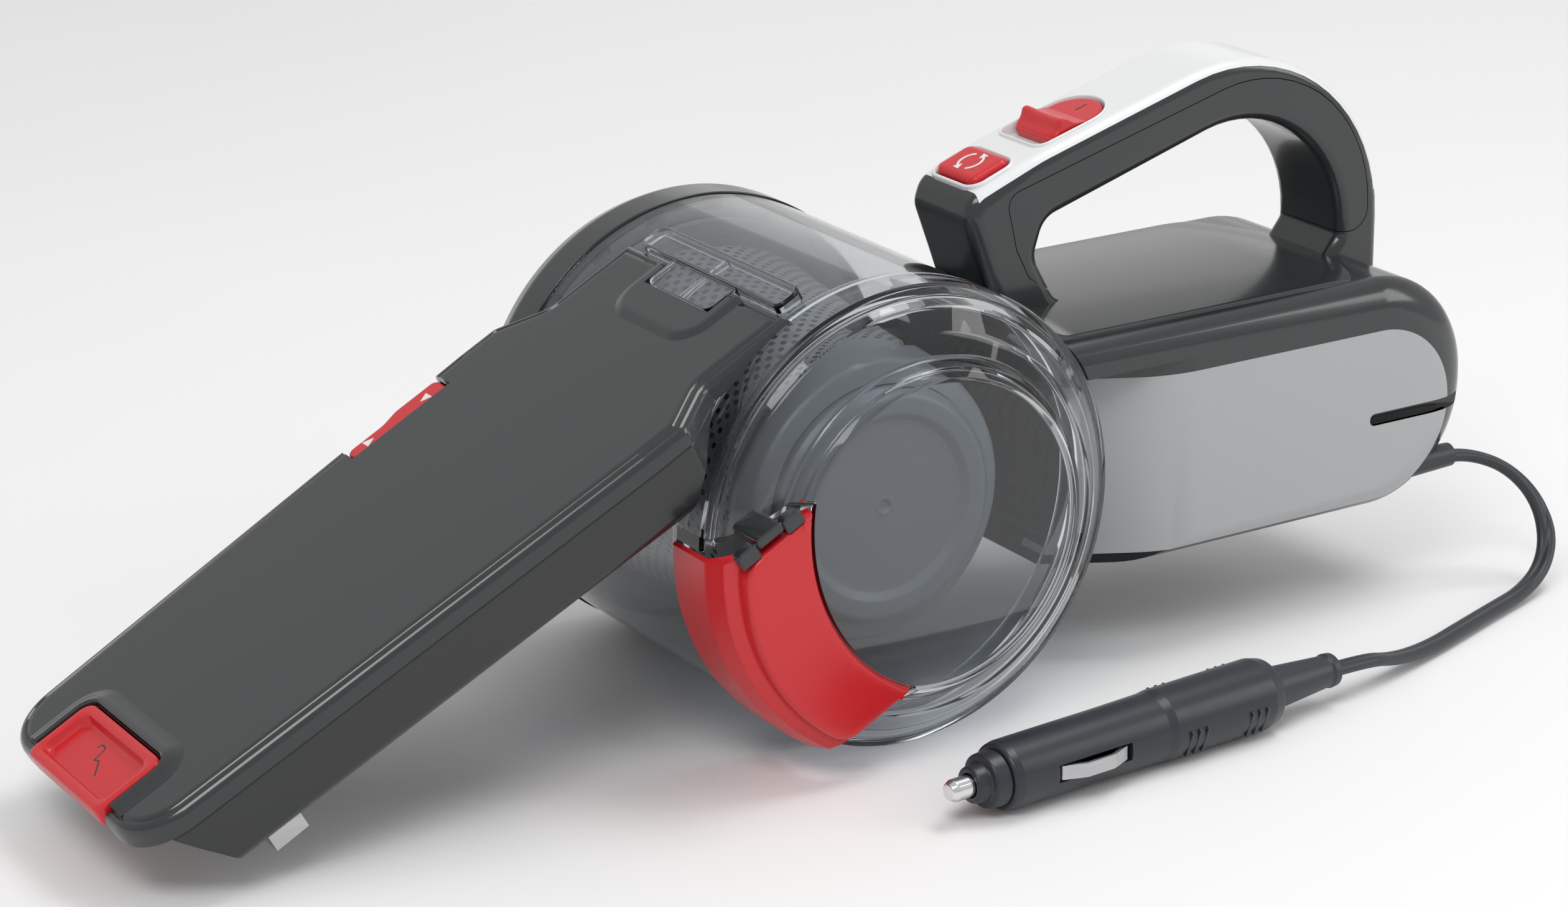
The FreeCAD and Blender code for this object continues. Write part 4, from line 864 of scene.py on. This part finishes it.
def make_pivot_mark():
    """A generic turning sign: two arcs with arrow heads."""
    for number, turn in enumerate((-1, 1)):
        start = math.radians(turn * 90 - 62)
        arc = arc_points(Vector((10.9, 0)), 4.1, start, start + math.radians(118), 14)
        path = [(point, 2.2) for point in arc]
        line = sweep("pivot_button_mark_%d" % number, path, bead(0.4, 0.3, 0.2), "XY", NOSE)
        dress(line, "pivot_button", "white")
        heading = (arc[-1] - arc[-2]).normalized()
        across = Vector((-heading.y, heading.x))
        tip = [arc[-1] + heading * 2.4, arc[-1] + across * 1.5, arc[-1] - across * 1.5]
        if area_of(tip) < 0:
            tip.reverse()
        head = stack("pivot_button_arrow_%d" % number, [(1.9, tip), (2.42, tip)], "XY", NOSE)
        dress(head, "pivot_button", "white")


def make_switch():
    """The red slide: a dished plate with a saddle-shaped ridge across its front."""
    loop = framed(32.8, 57.6, 10.6, 3.0, 10.3, 12)
    rim = [(-2.6, 0.3), (-0.6, 0.0), (-0.1, 0.2), (0.15, 0.6), (0.2, 1.2)]
    dress(rimmed("power_switch_plate", loop, rim, "XY", BAR), "power_switch", "red", ["power_switch"])
    bm = bmesh.new()
    lines = []
    profile = [(33.2, -0.6), (33.4, 0.6), (34.8, 1.3), (36.4, 2.5), (37.3, 4.0), (38.3, 4.6), (39.7, 4.5),
               (40.7, 3.4), (42.0, 1.8), (44.4, 0.8), (47.0, 0.3), (47.0, -0.8), (33.2, -0.8)]
    for y in (-10.5, -10.35, -9.9, -8.8, -6, -3, 0, 3, 6, 8.8, 9.9, 10.35, 10.5):
        end = max(0.0, (abs(y) - 9.8) / 0.7)    # 1 at either end of the ridge
        lean = 3.0 - math.sqrt(9.0 - max(0.0, abs(y) - 7.6) ** 2)
        rise = (0.86 + 0.14 * (y / 11.0) ** 2) * (1.0 - 0.12 * end * end)
        lines.append([bm.verts.new((x + lean * max(0.0, (38.5 - x) / 5.3), y, z * (rise if z > 0.5 else 1.0)))
                      for x, z in profile])
    joined(bm, lines)
    ridge = new_mesh("power_switch_ridge", bm, BAR)
    ridge.modifiers.new("smooth", "SUBSURF").levels = 2
    applied(ridge)
    dress(ridge, "power_switch", "red", angle=60)
    line = sweep("power_switch_mark", [(Vector((50.0, 0)), 0.2), (Vector((54.2, 0)), 0.2)],
                 bead(0.32, 0.2, 0.06), "XY", BAR)
    dress(line, "power_switch", "red", look="dark")


def ring_of(name, loop, rim, matrix):
    """A closed ring whose section (level, inset) is carried round a loop."""
    bm = bmesh.new()
    rings = [[bm.verts.new((p.x, p.y, level)) for p in inset(loop, by)] for level, by in rim]
    joined(bm, rings, capped=False)
    return new_mesh(name, bm, matrix)


def copy_of(piece):
    """A second object with a mesh of its own."""
    twin = piece.copy()
    twin.data = piece.data.copy()
    bpy.context.scene.collection.objects.link(twin)
    return twin


def body_blank(grow=0.0):
    """The motor body's outer form: rounded slab, round rear end, hollow front and near scoop."""
    top, bottom, rear, end = 38.2 + grow, -36.5 - grow, 219 + grow, 36 + grow
    loop = rounded([(50, top), (rear, top, end), (rear, bottom, end), (50, bottom)], 16)
    weights = []
    for point in loop:
        along = min(1.0, max(0.0, (point.x - 165) / 54))
        weights.append(1.0 + along * along * (3 - 2 * along) - (0.35 if point.y < -30 else 0.0) * (1 - along))
    blank = slab("body_blank", loop, 48.5 + grow, 8.0, DRUM, weights, 8)
    side = -48.5 - grow
    scoop = rounded([(40, -15.9 - grow), (100, side, 45), (140, side - 0.02), (140, -70), (40, -70)], 24)
    return carved(blank, [cutter(scoop, -60, 27 - grow, "XY", DRUM), drum_room()])


def drum_room(radius=DRUM_CLEAR):
    """The room kept free for the turning drum, as a cutting tool."""
    return rod(radius, -95, 95, (0, 0), DRUM)


def slot_tool(side):
    """The long exhaust slot on one side of the body, as a cutting tool."""
    slot = rounded([(178, -8.2, 1.9), (178, -4.2, 1.9), (230, -4.2), (230, -8.2)], 6)
    return through(slot, *((-60, -44.5) if side < 0 else (44.5, 60)))


def make_tub():
    """The lower body, and the silver panels flush with its sides."""
    tub = body_blank()
    gland = DRUM @ Matrix.Translation((0, -42, -26.5)) @ Matrix.Rotation(math.pi / 2, 4, "Y")
    carved(tub, [slot_tool(-1), slot_tool(1), rod(4.9, 190, 230, (0, 0), gland, plane="XY", segments=48),
                 block((82, 40, -27), (107, 60, 17), DRUM)])
    softened(tub, 0.5, 3, 40)
    dress(tub, "motor_body", "charcoal", ["housing_near", "housing_far"])
    outline = rounded([(52, 22.7), (210.1, 22.7, 28.09), (210.1, -33.5, 28.09), (52, -33.5)], 24)
    for side, name, reach in ((-1, "near", (-60, -18)), (1, "far", (18, 60))):
        panel = body_blank(0.15)
        carved(panel, [through(outline, *reach)], "INTERSECT")
        tools = [body_blank(-1.4), slot_tool(side)]
        if side > 0:
            tools.append(block((50, 20, -40), (112.4, 60, 30), DRUM))
        carved(panel, tools)
        softened(panel, 0.3, 2, 40)
        dress(panel, "motor_body", "silver", ["side_panel_" + name])


def deck_height(x, y):
    """The crowned deck: a lip at the drum, a long flat middle and a fall at the rear."""
    crown = 41.4 - y * y / 700.0
    lip = max(0.0, (70 - x) / 12.0)
    fall = max(0.0, (x - 160) / 45.0)
    return crown + 5.6 * lip * lip - 9.5 * fall ** 2.2


def make_deck():
    """The body's crowned top plate, whose edge is the seam along the shoulder."""
    bm = bmesh.new()
    columns, rows = 96, 56
    half, start, end = 41.6, 56, 212
    grid = []
    for i in range(columns + 1):
        x = start + (end - start) * i / columns
        reach = half if x < 190 else half - 14 * (1 - math.sqrt(max(0.0, 1 - ((x - 190) / 22.5) ** 2)))
        line = []
        for j in range(rows + 1):
            across = -1 + 2 * j / rows
            y = reach * math.sin(across * math.pi / 2) if abs(across) < 1 else reach * across
            edge = max(0.0, (abs(y) - (reach - 1.2)) / 1.2)
            line.append(bm.verts.new((x, y, deck_height(x, y) - 0.8 * edge * edge)))
        grid.append(line)
    for i in range(columns):
        for j in range(rows):
            bm.faces.new((grid[i][j], grid[i + 1][j], grid[i + 1][j + 1], grid[i][j + 1]))
    rim = [grid[i][0] for i in range(columns + 1)] + grid[columns][1:]
    rim += [grid[i][rows] for i in range(columns - 1, -1, -1)] + grid[0][rows - 1:0:-1]
    base = [bm.verts.new((v.co.x, v.co.y, 26.0)) for v in rim]
    for index in range(len(rim)):
        following = (index + 1) % len(rim)
        bm.faces.new((rim[index], base[index], base[following], rim[following]))
    bm.faces.new(base)
    deck = new_mesh("deck_plate", bm, DRUM)
    carved(deck, [drum_room(74.4)])
    dress(deck, "motor_body", "charcoal", angle=40)


def bar_line(x):
    """The height of the handle bar's top at x."""
    return BAR_START[1] + BAR_SLOPE * (x - BAR_START[0])


def handle_loop():
    """The handle from the side: up the front leg, over the bar and down, then back inside the opening."""
    corners = [(66, 30), (57.4, 44.8, 14), (47.9, 71.2, 7), (50.6, 78.6, 8), (74, bar_line(74) - 0.1, 70),
               (206.3, bar_line(206.3), 58.3), (206.3, 18), (184, 18), (184.5, 37.0), (190, 44.0, 2),
               (190, 101.4, 41), (77, 67.5, 8), (73.4, 56.5, 7), (80.5, 43.0, 9), (88, 38.6), (88, 30)]
    loop = rounded(corners, 14)
    weights = [1.0 + 0.35 * min(1.0, max(0.0, (62 - p.x) / 8)) * (1.0 if p.y < 82 else 0.4) for p in loop]
    return loop, weights


def strip_area():
    """The stretch of the handle's skin that the pale strip covers, seen from the side."""
    return rounded([(52.4, 76.6), (60, 79.5), (148, 99.5), (173, 92.5), (191.5, 74), (197.5, 57.5),
                    (215, 57.5), (215, 140), (52.4, 140)])


def strip_tool(loop):
    """The strip's room in the handle's skin, 2.1 mm deep, as a cutting tool."""
    return carved(through(strip_area(), -25, 25), [through(inset(loop, 2.1), -30, 30)])


def inlay_loop():
    """The outline of the grip inlay round the hand opening."""
    return rounded([(61.5, bar_line(61.5) - 7.2, 5), (201, bar_line(201) - 10, 47), (201, 45.2, 7),
                    (78, 45.2, 2), (70, 50.5, 4), (65.3, 60, 5)], 12)


BUTTON = (3.6, 18.2, 10.5)      # front, rear and half width on the nose plane
SWITCH = (27.0, 59.2, 12.0)     # the same for the switch's tray on the bar plane


def button_loop(corner, by=0.0):
    """The pivot button's outline, moved in by so much."""
    loop = framed(*BUTTON, corner, corner, 12)
    return inset(loop, by) if by else loop


def switch_tray():
    """The outline of the slide switch's tray, tighter at its front corners than at its rear."""
    return framed(*SWITCH, 4.5, SWITCH[2] - 0.4, 12)


def control_tools():
    """The wells of the button and the switch, as cutting tools."""
    return [cutter(button_loop(3.4, -0.9), -8, 12, "XY", NOSE),
            cutter(inset(switch_tray(), 0.6), -4.2, 12, "XY", BAR)]


def make_handle():
    """The handle: dark shell, pale strip over its top and grip inlays round the opening."""
    loop, weights = handle_loop()
    form = slab("handle_form", loop, 16.5, 4.2, DRUM, weights, 8)
    carved(form, [drum_room()])
    strip = copy_of(form)
    strip.name = "handle_strip_piece"
    carved(strip, [strip_tool(loop)], "INTERSECT")
    carved(strip, control_tools())
    carved(form, [strip_tool(loop)])
    carved(form, control_tools())
    inlay = copy_of(form)
    inlay.name = "grip_inlay_piece"
    carved(inlay, [through(inset(inlay_loop(), 0.28), -25, 25)], "INTERSECT")
    carved(form, [through(inlay_loop(), -25, 25)])
    form.name = "handle_shell"
    softened(strip, 0.3, 2, 45)
    softened(inlay, 0.15, 2, 45)
    softened(form, 0.15, 2, 45)
    dress(strip, "motor_body", "white", ["handle_strip"])
    dress(inlay, "motor_body", "charcoal", ["grip_inlay_near", "grip_inlay_far"])
    dress(form, "motor_body", "charcoal", ["handle_near", "handle_far"])


def make_body():
    make_tub()
    make_deck()
    make_handle()
    refined("bridge_duct", "motor_body", "charcoal", 1.0)


# ---- nodes that stay as they are ----

KEPT_LOOKS = {"nozzle_clip": "steel", "crevice_tool": "dark", "filter_pleats": "paper",
              "cord_gland": "rubber", "cover_seal": "rubber", "door_pin": "charcoal"}


def dress_kept_nodes():
    """Gives every CAD node that still shows its own material."""
    slots = {part["node"]: part["material_slot"] for part in frame["record"]["subparts"]}
    for name, node in NODES.items():
        if node.hide_render:
            continue
        node.data.materials.clear()
        node.data.materials.append(MATERIALS[KEPT_LOOKS.get(name, slots[name])])


# ---- stage ----


def make_stage():
    """A pale floor, an even white surround and four soft lamps."""
    plane = bmesh.new()
    bmesh.ops.create_grid(plane, x_segments=1, y_segments=1, size=6)
    floor = new_mesh("floor", plane, Matrix.Identity(4))
    if floor.data.polygons[0].normal.z < 0:
        floor.data.flip_normals()
    m = Nodes("floor")
    m.set(Base_Color=m.blend(m.noise(3.0), (0.86, 0.86, 0.86), (0.9, 0.9, 0.9)), Roughness=0.7)
    floor.data.materials.append(m.material)
    world = bpy.data.worlds.new("studio")
    world.use_nodes = True
    background = world.node_tree.nodes["Background"]
    background.inputs["Color"].default_value = (1, 1, 1, 1)
    background.inputs["Strength"].default_value = 0.62
    bpy.context.scene.world = world
    bpy.context.scene.view_settings.view_transform = "Standard"
    lamps = [("key", (-0.9, -0.9, 1.5), (0.9, 0.6), 11), ("top", (0.6, -0.2, 1.6), (0.8, 0.6), 8),
             ("side", (1.3, -0.9, 0.7), (0.5, 0.8), 4), ("back", (0.95, 1.25, 0.5), (0.9, 0.45), 0.4)]
    for name, spot, extent, power in lamps:
        lamp = bpy.data.lights.new(name, "AREA")
        lamp.shape = "RECTANGLE"
        lamp.size, lamp.size_y = extent
        lamp.energy = power
        holder = bpy.data.objects.new(name, lamp)
        holder.location = spot
        holder.rotation_euler = (Vector(spot) - Vector((0, 0, 0.08))).to_track_quat("Z", "Y").to_euler()
        bpy.context.scene.collection.objects.link(holder)


def make_camera():
    """The camera stands where the photograph was taken from."""
    azimuth, elevation, roll = (math.radians(a) for a in (-31.51, 19.18, -0.76))
    back = Vector((math.sin(azimuth) * math.cos(elevation), -math.cos(azimuth) * math.cos(elevation),
                   math.sin(elevation)))
    right = Vector((math.cos(azimuth), math.sin(azimuth), 0))
    up = back.cross(right)
    right, up = right * math.cos(roll) + up * math.sin(roll), up * math.cos(roll) - right * math.sin(roll)
    camera = bpy.data.cameras.new("camera")
    camera.lens = 92.857
    camera.sensor_width = 36
    holder = bpy.data.objects.new("camera", camera)
    turn = Matrix((right, up, back)).transposed().to_4x4()
    holder.matrix_world = Matrix.Translation(AXIS + Vector((-0.6041, -0.9735, 0.4021))) @ turn
    bpy.context.scene.collection.objects.link(holder)
    bpy.context.scene.camera = holder


make_camera()
make_stage()
lead = make_cord()
plug_pieces = make_plug()
make_nozzle_cover()
make_latch_surround()
make_nozzle_plateau()
make_nozzle_duct()
make_tip_latch()
make_release_button()
make_connector()
make_drum()
make_cover()
make_door()
make_filter()
make_hub_cap()
make_controls()
make_body()
dress_kept_nodes()
